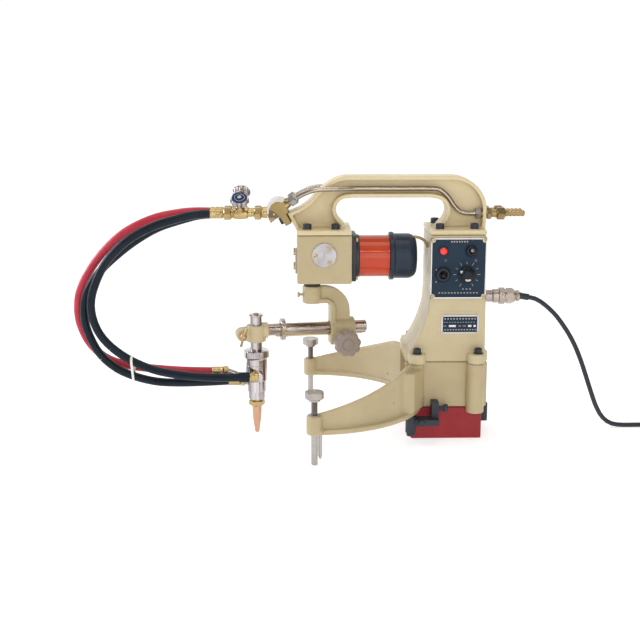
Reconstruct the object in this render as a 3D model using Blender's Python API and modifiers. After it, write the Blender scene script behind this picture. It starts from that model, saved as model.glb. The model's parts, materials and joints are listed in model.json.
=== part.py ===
"""Portable gas hole-cutting machine on a magnetic base.

A magnet and two screw feet stand on the plate that is cut. The column carries the controls and a
handle, and the handle carries a gearbox whose shaft swings an arm round a vertical axis. A bar slides
through the arm and holds a cutting torch, which three hoses feed from a manifold on the handle.

Every length below is in millimetres; the helpers turn them into Blender's metres. The origin is the
centre of the magnet's underside, +X runs from the torch towards the power cable, +Z is up, and the
control panel faces -Y.
"""
import math

import bmesh
import bpy
from mathutils import Matrix, Vector

MM = 0.001
GAP = 0.3  # clearance left between neighbouring solids

# Magnet and lower casting
MAGNET_X, MAGNET_Y, MAGNET_TOP = 46.5, 42.0, 43.2
YOKE_LEFT, YOKE_RIGHT, YOKE_BOTTOM, JOINT_Z = -55.5, 52.5, 43.5, 105.4
COLUMN_Y = 43.0
CLAMP_BOLTS = ((-41.0, 9.0, 50.0), (36.0, 11.7, 39.0))  # x, radius, lowest z of each boss rib
CLAMP_BOLT_Y, CLAMP_BOSS_R = 50.5, 11.7

# Swing axis, legs and feet
AXIS_X = -176.0
LEG_IN, LEG_OUT, FLANGE_IN, FLANGE_OUT = 136.0, 142.5, 133.0, 149.0
LEG_LOW, LEG_FLANGE = 40.0, 6.5
FOOT_Y, FOOT_BOSS_R, FOOT_BOSS_TOP, SPINDLE_R = 141.0, 10.0, 64.0, 4.0

# Column and control panel
FLANGE_TOP, COLUMN_TOP, COLUMN_RIGHT, WALL = 118.0, 271.0, 47.0, 6.0
PANEL_X, PANEL_Z = (-23.0, 46.6), (193.0, 268.0)
LAMP_AT, TOGGLE_AT, DIRECTION_AT, KNOB_AT = (-9.0, 251.5), (26.5, 251.5), (-9.0, 221.0), (21.5, 220.9)
SOCKET_Z = 184.0

# Handle
HANDLE_LOW, FOOT_FLANGE_TOP, HANDLE_TOP, HANDLE_Y = 271.3, 277.6, 344.0, 16.0
HANDLE_RIM, HANDLE_WEB = 5.0, 2.5
HANDLE_FEET = ((-196.0, -126.0), (-26.0, 47.0))
FITTING_Y, FITTING_Z = 9.6, 295.3

# Gearbox and motor
BOX_X, BOX_Y, BOX_Z = (-196.0, -125.5), 41.0, (208.0, 271.0)
CROSS_X, CROSS_Z = -162.5, 245.7
MOTOR_Z = 238.4
CAN_X, CAN_R, CAP_R, CAP_END = (-115.0, -75.5), 27.5, 29.5, -39.5

# Arm: turned by ARM_TURN about the swing axis from the line through the column
ARM_TURN = 10.0
BAR_Z, BAR_R, BAR_X = 141.5, 8.0, (-66.0, 73.0)  # along the arm, from the swing axis
RACK_X, RACK_PITCH = (-50.0, 72.0), 2.513
PINION_X, PINION_Z, PINION_TEETH = 40.0, 126.8, 12
TORCH_R = 75.5
COLLAR_X = -40.0

# Gas valves and hoses
VALVE_Y, VALVE_Z, VALVE_X, VALVE_TILT = 10.5, 296.0, -269.0, 37.5
HOSE_R = 5.5

# Power cable
CABLE_R, COIL_AT, COIL_R, COIL_IN, COIL_HEIGHT = 3.1, (350.0, 52.0), 48.5, 22.5, 25.2

RED_HOSE = [
    (-308.8, 10.5, 296.0), (-330, 10.8, 296.2), (-352, 11.2, 294), (-384, 12, 287), (-420, 13, 270),
    (-448, 14, 246), (-470, 15, 218), (-484, 15, 191), (-488, 14.5, 166), (-485, 14, 143),
    (-473, 13, 118), (-452, 11.5, 99), (-422, 9, 89), (-390, 8, 85), (-350, 7.2, 82),
    (-315, 7, 81), (-290.7, 7, 81),
]
UPPER_BLACK_HOSE = [
    (-309.0, -10.5, 296.0), (-328, -10.7, 294.5), (-348, -11, 290), (-381, -11, 280), (-416, -11, 261),
    (-444, -10.5, 233), (-460, -10, 203), (-466.5, -10, 176), (-462, -10, 149), (-448, -11, 126),
    (-422, -12.5, 105), (-387, -17, 90), (-351, -23, 84), (-320, -29, 82.5), (-285, -33, 82.8),
    (-258.9, -33, 83),
]
LOWER_BLACK_HOSE = [
    (-309.2, 30, 290), (-326, 29.5, 288.5), (-345, 27, 284), (-378, 20, 274), (-406, 13, 259),
    (-433, 8, 239), (-456, 4, 217), (-472, 2, 192), (-478, 2, 165), (-474, 0.5, 139),
    (-460, -2, 110), (-439, -4, 90), (-414, -5, 78), (-384, -9, 71.5), (-353, -12, 70.5),
    (-318, -13, 71.5), (-287.6, -13, 73),
]
POWER_CABLE = [
    (113, 0, 181.7), (122, 0, 179.2), (133, 0, 172.2), (148, 0, 158.5), (160.5, 0, 142.5),
    (170, 0, 128), (178.5, 0, 112), (187, 0, 92), (195, 0, 70), (202.5, 0, 49), (210, 0, 30),
    (219, 0, 15), (231, 0, 6), (246, 0, 3.4), (265, 0, 3.3), (290, 0, 3.3), (320, 0, 3.3), (350, 0, 3.3),
]


# ---------------------------------------------------------------- scene, materials and helpers
for old in list(bpy.data.objects):
    bpy.data.objects.remove(old)
PARTS = bpy.data.collections.new("gas_hole_cutter")
CUTTERS = bpy.data.collections.new("cutters")
bpy.context.scene.collection.children.link(PARTS)
bpy.context.scene.collection.children.link(CUTTERS)


def material(name, colour, roughness, metallic=0.0):
    mat = bpy.data.materials.new(name)
    mat.use_nodes = True
    shader = mat.node_tree.nodes["Principled BSDF"]
    shader.inputs["Base Color"].default_value = (*colour, 1.0)
    shader.inputs["Roughness"].default_value = roughness
    shader.inputs["Metallic"].default_value = metallic
    mat.diffuse_color = (*colour, 1.0)
    return mat


CREAM = material("cream_enamel", (0.60, 0.56, 0.40), 0.45)
RED = material("red_enamel", (0.50, 0.035, 0.045), 0.5)
ORANGE = material("orange_enamel", (0.62, 0.09, 0.03), 0.35)
BLACK = material("black_plastic", (0.02, 0.022, 0.028), 0.45)
BLACK_STEEL = material("black_steel", (0.025, 0.03, 0.04), 0.5, 0.6)
CHROME = material("chrome", (0.75, 0.75, 0.76), 0.12, 1.0)
STEEL = material("steel", (0.55, 0.54, 0.53), 0.3, 1.0)
ALUMINIUM = material("aluminium", (0.70, 0.70, 0.71), 0.35, 1.0)
BRASS = material("brass", (0.72, 0.52, 0.22), 0.28, 1.0)
COPPER = material("copper", (0.80, 0.45, 0.30), 0.35, 1.0)
GREY = material("grey_plastic", (0.22, 0.20, 0.19), 0.55)
RUBBER = material("black_rubber", (0.015, 0.018, 0.022), 0.6)
RED_RUBBER = material("red_rubber", (0.55, 0.03, 0.05), 0.55)
LAMP_RED = material("red_lens", (0.85, 0.03, 0.02), 0.15)


def empty(name, at, parent=None, turn_z=0.0):
    """A frame that moving pieces hang from; at is in its parent's frame."""
    obj = bpy.data.objects.new(name, None)
    obj.location = Vector(at) * MM
    obj.rotation_euler = (0, 0, math.radians(turn_z))
    obj.parent = parent
    PARTS.objects.link(obj)
    return obj


def add(name, mesh, mat, parent=None, at=(0, 0, 0)):
    obj = bpy.data.objects.new(name, mesh)
    obj.location = Vector(at) * MM
    obj.parent = parent
    mesh.materials.clear()
    mesh.materials.append(mat)
    PARTS.objects.link(obj)
    mesh.shade_smooth()
    mesh.set_sharp_from_angle(angle=math.radians(32))
    return obj


def add_bmesh(name, bm, mat, parent=None, at=(0, 0, 0)):
    mesh = bpy.data.meshes.new(name)
    bm.to_mesh(mesh)
    bm.free()
    return add(name, mesh, mat, parent, at)


def block(name, low, high, mat=CREAM, parent=None):
    """A box from its low corner to its high one."""
    low, high = Vector(low) * MM, Vector(high) * MM
    bm = bmesh.new()
    bmesh.ops.create_cube(bm, size=1.0)
    place = Matrix.Translation((low + high) / 2) @ Matrix.Diagonal((*(high - low), 1.0))
    bmesh.ops.transform(bm, matrix=place, verts=bm.verts)
    return add_bmesh(name, bm, mat, parent)


def facing(direction):
    """The turn that takes +Z to a direction."""
    return Vector((0, 0, 1)).rotation_difference(Vector(direction)).to_matrix().to_4x4()


def turned(name, profile, mat, at, axis=(0, 0, 1), steps=18, parent=None, closed=False):
    """A turned piece: (radius, height) points from top to bottom on the outer side.

    Its origin is at, on its own axis. A closed profile makes a ring.
    """
    bm = bmesh.new()
    verts = [bm.verts.new((r * MM, 0, z * MM)) for r, z in profile]
    for first, second in zip(verts, verts[1:] + verts[:1] if closed else verts[1:]):
        bm.edges.new((first, second))
    obj = add_bmesh(name, bm, mat, parent, at)
    obj.rotation_euler = facing(axis).to_euler()
    screw = obj.modifiers.new("turn", "SCREW")
    screw.steps = screw.render_steps = steps
    screw.use_merge_vertices = True
    screw.merge_threshold = 0.00005
    return obj


def rod(name, radius, low, high, mat, at=(0, 0, 0), axis=(0, 0, 1), steps=18, parent=None, chamfer=0.0):
    """A cylinder between two heights along its axis."""
    profile = [(0, high), (radius - chamfer, high)]
    if chamfer:
        profile += [(radius, high - chamfer), (radius, low + chamfer)]
    else:
        profile[1:] = [(radius, high), (radius, low)]
    profile += [(radius - chamfer, low)] if chamfer else []
    return turned(name, profile + [(0, low)], mat, at, axis, steps, parent)


def ring(name, inner, outer, low, high, mat, at=(0, 0, 0), axis=(0, 0, 1), steps=24, parent=None):
    profile = [(outer, high), (outer, low), (inner, low), (inner, high)]
    return turned(name, profile, mat, at, axis, steps, parent, closed=True)


def hexagon(name, across, low, high, mat, at=(0, 0, 0), axis=(0, 0, 1), parent=None, spin=0.0):
    """A six-sided bar of a width across its flats."""
    bm = bmesh.new()
    radius = across / math.sqrt(3) * MM
    bmesh.ops.create_cone(bm, cap_ends=True, segments=6, radius1=radius, radius2=radius,
                          depth=(high - low) * MM)
    place = (facing(axis) @ Matrix.Rotation(math.radians(spin), 4, "Z")
             @ Matrix.Translation((0, 0, (low + high) / 2 * MM)))
    bmesh.ops.transform(bm, matrix=place, verts=bm.verts)
    return add_bmesh(name, bm, mat, parent, at)


PLANES = {
    "XY": Matrix.Identity(4),
    "XZ": Matrix(((1, 0, 0, 0), (0, 0, -1, 0), (0, 1, 0, 0), (0, 0, 0, 1))),
    "YZ": Matrix(((0, 0, 1, 0), (1, 0, 0, 0), (0, 1, 0, 0), (0, 0, 0, 1))),
}


def prism(name, outlines, low, high, mat=CREAM, plane="XY", parent=None, at=(0, 0, 0)):
    """Flat outlines, the first outside and the rest holes, as a solid from low to high.

    In XY the solid rises along +Z, in XZ it runs along Y, and in YZ along X.
    """
    curve = bpy.data.curves.new(name, "CURVE")
    curve.dimensions = "2D"
    curve.fill_mode = "BOTH"
    curve.extrude = (high - low) / 2 * MM
    for outline in outlines:
        spline = curve.splines.new("POLY")
        spline.points.add(len(outline) - 1)
        for point, (x, y) in zip(spline.points, outline):
            point.co = (x * MM, y * MM, 0, 1)
        spline.use_cyclic_u = True
    guide = bpy.data.objects.new(name + "_outline", curve)
    CUTTERS.objects.link(guide)
    seen = guide.evaluated_get(bpy.context.evaluated_depsgraph_get())
    mesh = bpy.data.meshes.new_from_object(seen)
    bpy.data.objects.remove(guide)
    bm = bmesh.new()
    bm.from_mesh(mesh)
    bmesh.ops.remove_doubles(bm, verts=bm.verts, dist=0.00001)
    middle = (low + high) / 2 * MM
    sign = -1 if plane == "XZ" else 1
    place = PLANES[plane] @ Matrix.Translation((0, 0, sign * middle))
    bmesh.ops.transform(bm, matrix=place, verts=bm.verts)
    bmesh.ops.recalc_face_normals(bm, faces=bm.faces)
    bmesh.ops.dissolve_limit(bm, angle_limit=math.radians(0.5), verts=bm.verts, edges=bm.edges)
    return add_bmesh(name, bm, mat, parent, at)


def arc(centre, radius, first, last, count):
    """Points on an arc from one angle to another, in degrees."""
    angles = [math.radians(first + (last - first) * i / (count - 1)) for i in range(count)]
    return [(centre[0] + radius * math.cos(a), centre[1] + radius * math.sin(a)) for a in angles]


def rounded_rectangle(low, high, radius, count=5):
    (x0, y0), (x1, y1) = low, high
    corners = (((x1 - radius, y1 - radius), 0), ((x0 + radius, y1 - radius), 90),
               ((x0 + radius, y0 + radius), 180), ((x1 - radius, y0 + radius), 270))
    return [p for centre, start in corners for p in arc(centre, radius, start, start + 90, count)]


def inset(outline, distance):
    """The outline moved inwards by a distance; the points run anticlockwise."""
    moved = []
    for i, here in enumerate(outline):
        before = (Vector(here) - Vector(outline[i - 1])).normalized()
        after = (Vector(outline[(i + 1) % len(outline)]) - Vector(here)).normalized()
        normal = Vector((-before.y - after.y, before.x + after.x)).normalized()
        reach = distance / max(0.35, normal.dot(Vector((-before.y, before.x))))
        moved.append(tuple(Vector(here) + normal * reach))
    return moved


def operand(base, other, operation):
    modifier = base.modifiers.new(operation.lower(), "BOOLEAN")
    modifier.operation = operation
    modifier.object = other
    PARTS.objects.unlink(other)
    CUTTERS.objects.link(other)
    other.hide_render = True
    other.display_type = "WIRE"


def fuse(base, *others):
    for other in others:
        operand(base, other, "UNION")
    return base


def carve(base, *cutters):
    for cutter in cutters:
        operand(base, cutter, "DIFFERENCE")
    return base


def softened(obj, width, segments=1):
    bevel = obj.modifiers.new("soft_edges", "BEVEL")
    bevel.width = width * MM
    bevel.segments = segments
    bevel.limit_method = "ANGLE"
    bevel.angle_limit = math.radians(40)
    return obj


def smooth_route(points, spacing):
    """Points at an even spacing along a smooth curve through the given ones."""
    path = [Vector(p) for p in points]
    path = [2 * path[0] - path[1], *path, 2 * path[-1] - path[-2]]
    fine = []
    for a, b, c, d in zip(path, path[1:], path[2:], path[3:]):
        for i in range(12):
            t = i / 12
            fine.append(0.5 * ((2 * b) + (c - a) * t + (2 * a - 5 * b + 4 * c - d) * t * t
                               + (3 * b - a - 3 * c + d) * t ** 3))
    fine.append(path[-2])
    total = sum((q - p).length for p, q in zip(fine, fine[1:]))
    step = total / max(2, round(total / spacing))
    route, walked = [fine[0]], 0.0
    for p, q in zip(fine, fine[1:]):
        walked += (q - p).length
        if walked >= step * (len(route)) - 1e-6 and len(route) < round(total / step):
            route.append(q)
    return route + [fine[-1]]


def tube(name, points, radius, mat, spacing=None, resolution=2, parent=None):
    """A round tube along a smooth route through the points."""
    curve = bpy.data.curves.new(name, "CURVE")
    curve.dimensions = "3D"
    curve.bevel_depth = radius * MM
    curve.bevel_resolution = resolution
    curve.use_fill_caps = True
    route = smooth_route(points, spacing or 5 * radius)
    spline = curve.splines.new("POLY")
    spline.points.add(len(route) - 1)
    for point, place in zip(spline.points, route):
        point.co = (*(place * MM), 1)
    curve.materials.append(mat)
    obj = bpy.data.objects.new(name, curve)
    obj.parent = parent
    PARTS.objects.link(obj)
    return obj


def meshed(curve_object):
    """The curve's tube as a mesh with its caps welded, so that it can be cut or joined."""
    name, mat, parent = curve_object.name, curve_object.data.materials[0], curve_object.parent
    seen = curve_object.evaluated_get(bpy.context.evaluated_depsgraph_get())
    mesh = bpy.data.meshes.new_from_object(seen)
    bpy.data.objects.remove(curve_object)
    bm = bmesh.new()
    bm.from_mesh(mesh)
    bmesh.ops.remove_doubles(bm, verts=bm.verts, dist=0.00001)
    bmesh.ops.recalc_face_normals(bm, faces=bm.faces)
    return add_bmesh(name, bm, mat, parent)


def gear_outline(teeth, root, tip, share=0.4):
    """A gear's outline: straight-sided teeth that fill a share of their pitch."""
    points = []
    for tooth in range(teeth):
        for offset, radius in ((-0.5, root), (-share * 0.75, root), (-share * 0.4, tip),
                               (share * 0.4, tip), (share * 0.75, root)):
            angle = 2 * math.pi * (tooth + offset) / teeth + math.pi / 2
            points.append((radius * math.cos(angle), radius * math.sin(angle)))
    return points


def lobed_outline(lobes, radius, depth, count):
    """A hand knob's outline, whose radius waves between radius and radius - depth."""
    points = []
    for i in range(count):
        angle = 2 * math.pi * i / count
        reach = radius - depth * (0.5 - 0.5 * math.cos(lobes * angle)) ** 2
        points.append((reach * math.cos(angle), reach * math.sin(angle)))
    return points


# ---------------------------------------------------------------- magnet and castings
def make_magnet():
    housing = block("magnet_housing", (-MAGNET_X, -MAGNET_Y, 0), (MAGNET_X, MAGNET_Y, MAGNET_TOP), RED)
    softened(housing, 1.2)
    slot = [rounded_rectangle((-34, -29), (34, 29), 6), rounded_rectangle((-18, -13), (18, 13), 3)]
    carve(housing, prism("coil_slot", slot, -1, 26))
    coil = [rounded_rectangle((-34 + GAP, -29 + GAP), (34 - GAP, 29 - GAP), 6),
            rounded_rectangle((-18 - GAP, -13 - GAP), (18 + GAP, 13 + GAP), 3)]
    prism("magnet_coil", coil, 0.5, 26 - GAP, COPPER)
    box = block("magnet_terminal_box", (MAGNET_X + GAP, -24, 18), (57.5, 24, YOKE_BOTTOM - GAP), BLACK_STEEL)
    softened(box, 1.0)


def leg_top_outline():
    """Side view of the legs: their top edge rises from the feet to the joint plane."""
    top = [(-58, JOINT_Z - GAP), (-64, 102.3), (-78, 95.5), (-94, 89), (-112, 82.5), (-139, 74), (-190, 60)]
    return [(-190, LEG_LOW), (10, LEG_LOW), (10, JOINT_Z - GAP), *top]


def horseshoe(inner, outer, first, last, count):
    centre = (AXIS_X, 0)
    return arc(centre, outer, first, last, count) + arc(centre, inner, last, first, count)


def make_leg_yoke():
    top = JOINT_Z - GAP
    yoke = block("leg_yoke", (YOKE_LEFT, -COLUMN_Y, YOKE_BOTTOM), (YOKE_RIGHT, COLUMN_Y, top))
    softened(yoke, 2.0)
    web = prism("leg_web", [horseshoe(LEG_IN, LEG_OUT, -90, 90, 37)], LEG_LOW, top)
    side = prism("leg_side_view", [leg_top_outline()[::-1]], -180, 180, plane="XZ")
    operand(web, side, "INTERSECT")
    fuse(yoke, web)
    for side in (-1, 1):
        flange = horseshoe(FLANGE_IN, FLANGE_OUT, side * 19.5, side * 90, 15)
        fuse(yoke, prism("leg_flange", [flange[::side]], LEG_LOW, LEG_LOW + LEG_FLANGE))
        foot = (AXIS_X, side * FOOT_Y)
        fuse(yoke, rod("foot_boss", FOOT_BOSS_R, LEG_LOW - 0.4, FOOT_BOSS_TOP, CREAM, (*foot, 0), chamfer=1))
        for x, radius, low in CLAMP_BOLTS:
            rib = rod("boss_rib", radius, low, top - 0.01, CREAM, (x, side * CLAMP_BOLT_Y, 0))
            back = [(x - radius * 0.98, side * (COLUMN_Y - 3)), (x + radius * 0.98, side * (COLUMN_Y - 3)),
                    (x + radius * 0.98, side * CLAMP_BOLT_Y), (x - radius * 0.98, side * CLAMP_BOLT_Y)]
            fuse(yoke, rib, prism("rib_back", [back[::side]], max(low, YOKE_BOTTOM), top - 0.01))
        carve(yoke, rod("spindle_hole", SPINDLE_R + GAP, 30, 70, STEEL, (*foot, 0)))
        # a corner fillet where each leg's wall runs into the front of the casting
        corner = [(-62, side * 84), (-40, side * 42), (-31, side * 42), (-33, side * 55), (-47, side * 80)]
        fuse(yoke, prism("leg_root", [corner[::-side]], LEG_LOW + LEG_FLANGE, 99))
    carve(yoke, block("magnet_seat", (-MAGNET_X - GAP, -MAGNET_Y - GAP, 30),
                      (MAGNET_X + GAP, MAGNET_Y + GAP, YOKE_BOTTOM)))
    # the torch's hose ends pass the front of the casting, so that it is hollowed to the legs' inner radius
    passage = arc((AXIS_X, 0), LEG_IN, -15.2, 15.2, 17) + [(-70, 35.6), (-70, -35.6)]
    carve(yoke, prism("torch_passage", [passage], LEG_LOW + LEG_FLANGE + 3, JOINT_Z + 5))
    carve(yoke, block("yoke_hollow", (-33.5, -34, 53), (40, 34, JOINT_Z + 5)))
    return yoke


def column_outline(step):
    """Side view of the column, drawn in by step; the left side curves out to its flange."""
    left = [(-25, COLUMN_TOP), (-25, 195), (-26.2, 175), (-29, 164), (-35, 146), (-42.5, 131), (-51.3, 118)]
    left = [(x + step, z) for x, z in left]
    left[0] = (left[0][0], COLUMN_TOP - step)
    right = COLUMN_RIGHT - step
    return [*left, (-51.3 + step, JOINT_Z), (right + 1.5, JOINT_Z), (right + 1.5, FLANGE_TOP + 10),
            (right, COLUMN_TOP - step)]


def make_column():
    column = prism("column", [column_outline(0)], -COLUMN_Y, COLUMN_Y, plane="XZ")
    softened(column, 1.6)
    flange = [(YOKE_LEFT, -COLUMN_Y + 6), (YOKE_LEFT + 6, -COLUMN_Y - 4), (-41, -COLUMN_Y - 4),
              (-41, -COLUMN_Y), (YOKE_RIGHT - 4, -COLUMN_Y), (YOKE_RIGHT, -COLUMN_Y + 4)]
    flange += [(x, -y) for x, y in reversed(flange)]
    fuse(column, prism("column_flange", [flange], JOINT_Z, FLANGE_TOP))
    for side in (-1, 1):
        for x, _, _ in CLAMP_BOLTS:
            boss = rod("clamp_boss", CLAMP_BOSS_R, JOINT_Z, FLANGE_TOP, CREAM, (x, side * CLAMP_BOLT_Y, 0))
            web = block("boss_web", (x - 11.2, min(side * 40, side * CLAMP_BOLT_Y), JOINT_Z),
                        (x + 11.2, max(side * 40, side * CLAMP_BOLT_Y), FLANGE_TOP - 0.2))
            fuse(column, boss, web)
    fuse(column, block("plate_pad", (-13.5, -COLUMN_Y - 1.2, 139.5), (42.5, -COLUMN_Y + 1, 171.5)))
    hollow = [(x, min(z, 262)) for x, z in column_outline(WALL)]
    hollow = [(x, 90 if z == JOINT_Z else z) for x, z in hollow]
    carve(column, prism("column_hollow", [hollow], -COLUMN_Y + WALL, COLUMN_Y - WALL, plane="XZ"))
    carve(column, block("panel_window", (-16, -COLUMN_Y - 2, 200), (40, -COLUMN_Y + WALL + 1, 261)))
    carve(column, rod("socket_hole", 8.3, 30, 60, STEEL, (0, 0, SOCKET_Z), (1, 0, 0)))
    carve(column, rod("lead_hole", 2.8, -40, -10, STEEL, (0, -10, 254.5), (1, 0, 0), 12))
    return column


def through(points, count):
    """Points on a smooth open curve through the given ones."""
    path = [Vector(p) for p in points]
    path = [2 * path[0] - path[1], *path, 2 * path[-1] - path[-2]]
    curve = []
    for a, b, c, d in zip(path, path[1:], path[2:], path[3:]):
        for i in range(count):
            t = i / count
            point = 0.5 * ((2 * b) + (c - a) * t + (2 * a - 5 * b + 4 * c - d) * t * t
                           + (3 * b - a - 3 * c + d) * t ** 3)
            curve.append(tuple(point))
    return [*curve, tuple(points[-1])]


def handle_outline():
    """Side view of the handle, anticlockwise from its left foot, round the finger opening."""
    (left0, left1), (right0, right1) = HANDLE_FEET
    low = HANDLE_LOW + 1
    outer_arc = arc((5, HANDLE_TOP - 45), 45, 0, 90, 12)
    shoulder = [(-134, HANDLE_TOP), (-144, 341.5), (-154, 336.5), (-165, 328.5), (-173.5, 319.5),
                (-181, 311), (-192, 303)]
    outer = [(right1 + 1.5, low), (49.6, 288), *outer_arc, *through(shoulder, 2), (-208.5, 296.4),
             (left0 + 1, low)]
    left_end = [(-135, 283), (-142, 290.5), (-145.5, 300), (-143.5, 309), (-136, 315), (-124, 316.5)]
    right_end = [(-23, 316.5), (-10.5, 313.7), (-3.5, 306.5), (-2, 298), (-5.5, 288.5), (-12.5, 281.5)]
    opening = [(left1 - 4, low), *through(left_end, 2), *through(right_end, 2), (right0 + 9, low)]
    return outer + opening


def make_handle():
    outline = handle_outline()
    handle = prism("handle", [outline], -HANDLE_Y, HANDLE_Y, plane="XZ")
    pocket = inset(outline, HANDLE_RIM)
    for low, high in ((-HANDLE_Y - 2, -HANDLE_WEB), (HANDLE_WEB, HANDLE_Y + 2)):
        carve(handle, prism("recess", [pocket], low, high, plane="XZ"))
    for low, high in HANDLE_FEET:
        foot = block("foot_flange", (low, -BOX_Y - 1, HANDLE_LOW), (high, BOX_Y + 1, FOOT_FLANGE_TOP))
        fuse(handle, softened(foot, 1.2))
    for side in (-1, 1):
        hole = rod("fitting_hole", 5.4, 30, 60, STEEL, (0, side * FITTING_Y, FITTING_Z), (1, 0, 0))
        carve(handle, hole)
    return handle


# ---------------------------------------------------------------- gearbox, motor and drive
def make_gearbox():
    (x0, x1), (z0, z1) = BOX_X, BOX_Z
    housing = block("gearbox_housing", (x0, -BOX_Y, z0), (x1, BOX_Y, z1), CREAM)
    softened(housing, 1.5)
    carve(housing, block("gear_space", (x0 + 6, -23.5, z0 + 5), (x1 + 5, 23.5, z1 + 5)))
    carve(housing, rod("shaft_hole", 7.4, z0 - 5, z0 + 10, STEEL, (AXIS_X, 0, 0)))
    carve(housing, rod("near_bush", 4.4, 20, 50, STEEL, (CROSS_X, 0, CROSS_Z), (0, -1, 0), 16))
    carve(housing, rod("shaft_end_bush", 4.4, 20, 34, STEEL, (CROSS_X, 0, CROSS_Z), (0, 1, 0), 16))
    rod("gearbox_side_cover", 15.5, BOX_Y + GAP, BOX_Y + 2.6, ALUMINIUM, (CROSS_X, 0, CROSS_Z),
        (0, -1, 0), 32,
        chamfer=0.5)
    ring("output_bearing", 5.3, 13, z0 + 5 + GAP, z0 + 15, STEEL, (AXIS_X, 0, 0))
    ring("shaft_seal", 7.3, 11, 199.3, z0 - GAP, RUBBER, (AXIS_X, 0, 0))


def make_motor():
    plate = [rounded_rectangle((-30, MOTOR_Z - 30), (30, MOTOR_Z + 30), 8, 4)]
    flange = prism("motor_flange", plate, BOX_X[1] + GAP, -119.5, BLACK, plane="YZ")
    centre = (0, 0, MOTOR_Z)
    fuse(flange, rod("spigot", 27, -120, CAN_X[0] - GAP, BLACK, centre, (1, 0, 0), 32))
    carve(flange, rod("pinion_hole", 11, -130, -110, BLACK, centre, (1, 0, 0)))
    ring("motor_can", 24.5, CAN_R, *CAN_X, ORANGE, centre, (1, 0, 0), 32)
    end, start = CAP_END, CAN_X[1] + GAP
    cap = [(0, end), (20, end), (25.5, end - 1.2), (28.3, end - 4.5), (CAP_R, end - 10), (CAP_R, start + 6),
           (31.5, start + 5.5), (31.5, start), (26, start), (26, end - 5), (0, end - 3)]
    turned("motor_end_cap", cap, BLACK, centre, (1, 0, 0), 28)
    lead = [(CAP_END + GAP, -9, 260.5), (-35, -9.5, 260), (-30.5, -10, 257.8), (-25.5, -10, 254.8)]
    tube("motor_lead", lead, 2.2, RUBBER, spacing=3.5)


def make_drive(arm, worm, rotor):
    shaft = [(0, 262), (4, 262), (4, 224.5), (5, 224.5), (5, 213), (7, 213), (7, 178.3), (0, 178.3)]
    turned("output_shaft", shaft, STEEL, (0, 0, 0), parent=arm)
    wheel = [gear_outline(16, 7.2, 8.6), arc((0, 0), 4.3, 0, 345, 24)]
    prism("worm_wheel", wheel, CROSS_Z - 5, CROSS_Z + 5, BRASS, parent=arm)
    # the worm's thread as collars, on the shaft that also carries the crown gear
    collars = [(0, 33.5), (4, 33.5), (4, 13.5), (19, 13.5), (19, 9), (4, 9), (4, 8)]
    for turn in range(5):
        top = 7.0 - turn * 3.1
        collars += [(3.4, top), (4.4, top - 0.8), (4.4, top - 1.3), (3.4, top - 2.1)]
    collars += [(4, -9), (4, -36), (0, -36)]
    turned("worm_shaft", collars, STEEL, (0, 0, 0), (0, 1, 0), 12, worm)
    armature = [(0, -46), (3, -46), (3, -60), (8, -60), (8, -73), (5, -73), (5, -79), (15, -79), (15, -109),
                (3, -109), (3, -153), (0, -153)]
    rotor_piece = turned("motor_armature", armature, STEEL, (0, 0, 0), (1, 0, 0), 16, rotor)
    fuse(rotor_piece, prism("motor_pinion", [gear_outline(10, 7.2, 8.5)], -152.5, -130, STEEL, plane="YZ",
                            parent=rotor))


# ---------------------------------------------------------------- swinging arm, bar and torch
def make_swing_bracket(arm):
    bracket = rod("swing_bracket", 13, 176, 199, CREAM, (0, 0, 0), steps=32, parent=arm, chamfer=1)
    bow = [(2, 198.5), (2, 177), (18, 177), (22, 175.5), (25, 172), (25, 122.5), (34, 122.5), (50, 136),
           (50, 160)]
    bow += arc((16, 164.5), 34, 0, 90, 9)[1:]
    fuse(bracket, prism("bow_web", [bow], -6.5, 6.5, plane="XZ", parent=arm))
    rim = [(2, 176.4), (18, 176.4), (21.6, 174.5), (23.6, 170), (23.6, 119.6), (30, 119.6), (30, 170),
           (27, 177), (20, 182),
           (2, 182)]
    fuse(bracket, prism("bow_rim", [rim], -10.7, 10.7, plane="XZ", parent=arm))
    fuse(bracket, rod("bar_housing", 13.5, 23.2, 56.5, CREAM, (0, 0, BAR_Z), (1, 0, 0), 22, arm, 1))
    pinion_at = (PINION_X, 0, PINION_Z)
    fuse(bracket, rod("pinion_housing", 11, -14, 22, CREAM, pinion_at, (0, -1, 0), 24, arm, 1))
    carve(bracket, rod("shaft_bore", 7.3, 170, 205, STEEL, (0, 0, 0), parent=arm))
    carve(bracket, rod("bar_bore", BAR_R + GAP, 15, 65, STEEL, (0, 0, BAR_Z), (1, 0, 0), 26, arm))
    carve(bracket, block("rack_way", (15, -2.9, 130.8), (65, 2.9, BAR_Z), parent=arm))
    carve(bracket, rod("pinion_bore", 5.6, -20, 30, STEEL, pinion_at, (0, -1, 0), 20, arm))
    return bracket


def make_radius_knob(knob):
    """The pinion on its shaft and the hand knob at the near end; knob is on the shaft's axis."""
    shaft = [(0, 34), (3, 34), (3, 24), (5.25, 24), (5.25, 5), (3.6, 5), (3.6, -5), (5.25, -5), (5.25, -13),
             (0, -13)]
    piece = turned("pinion_shaft", shaft, STEEL, (0, 0, 0), (0, -1, 0), 20, knob)
    fuse(piece, prism("pinion", [gear_outline(PINION_TEETH, 3.8, 5.2)], -5.01, 5.01, STEEL, "XZ", knob))
    grip = prism("radius_knob", [lobed_outline(8, 17.5, 2.2, 48)], -45, -24.3, GREY, "XZ", knob)
    softened(grip, 1.5)
    carve(grip, rod("knob_bore", 3.3, 20, 34.5, STEEL, (0, 0, 0), (0, -1, 0), 16, knob))


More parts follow.
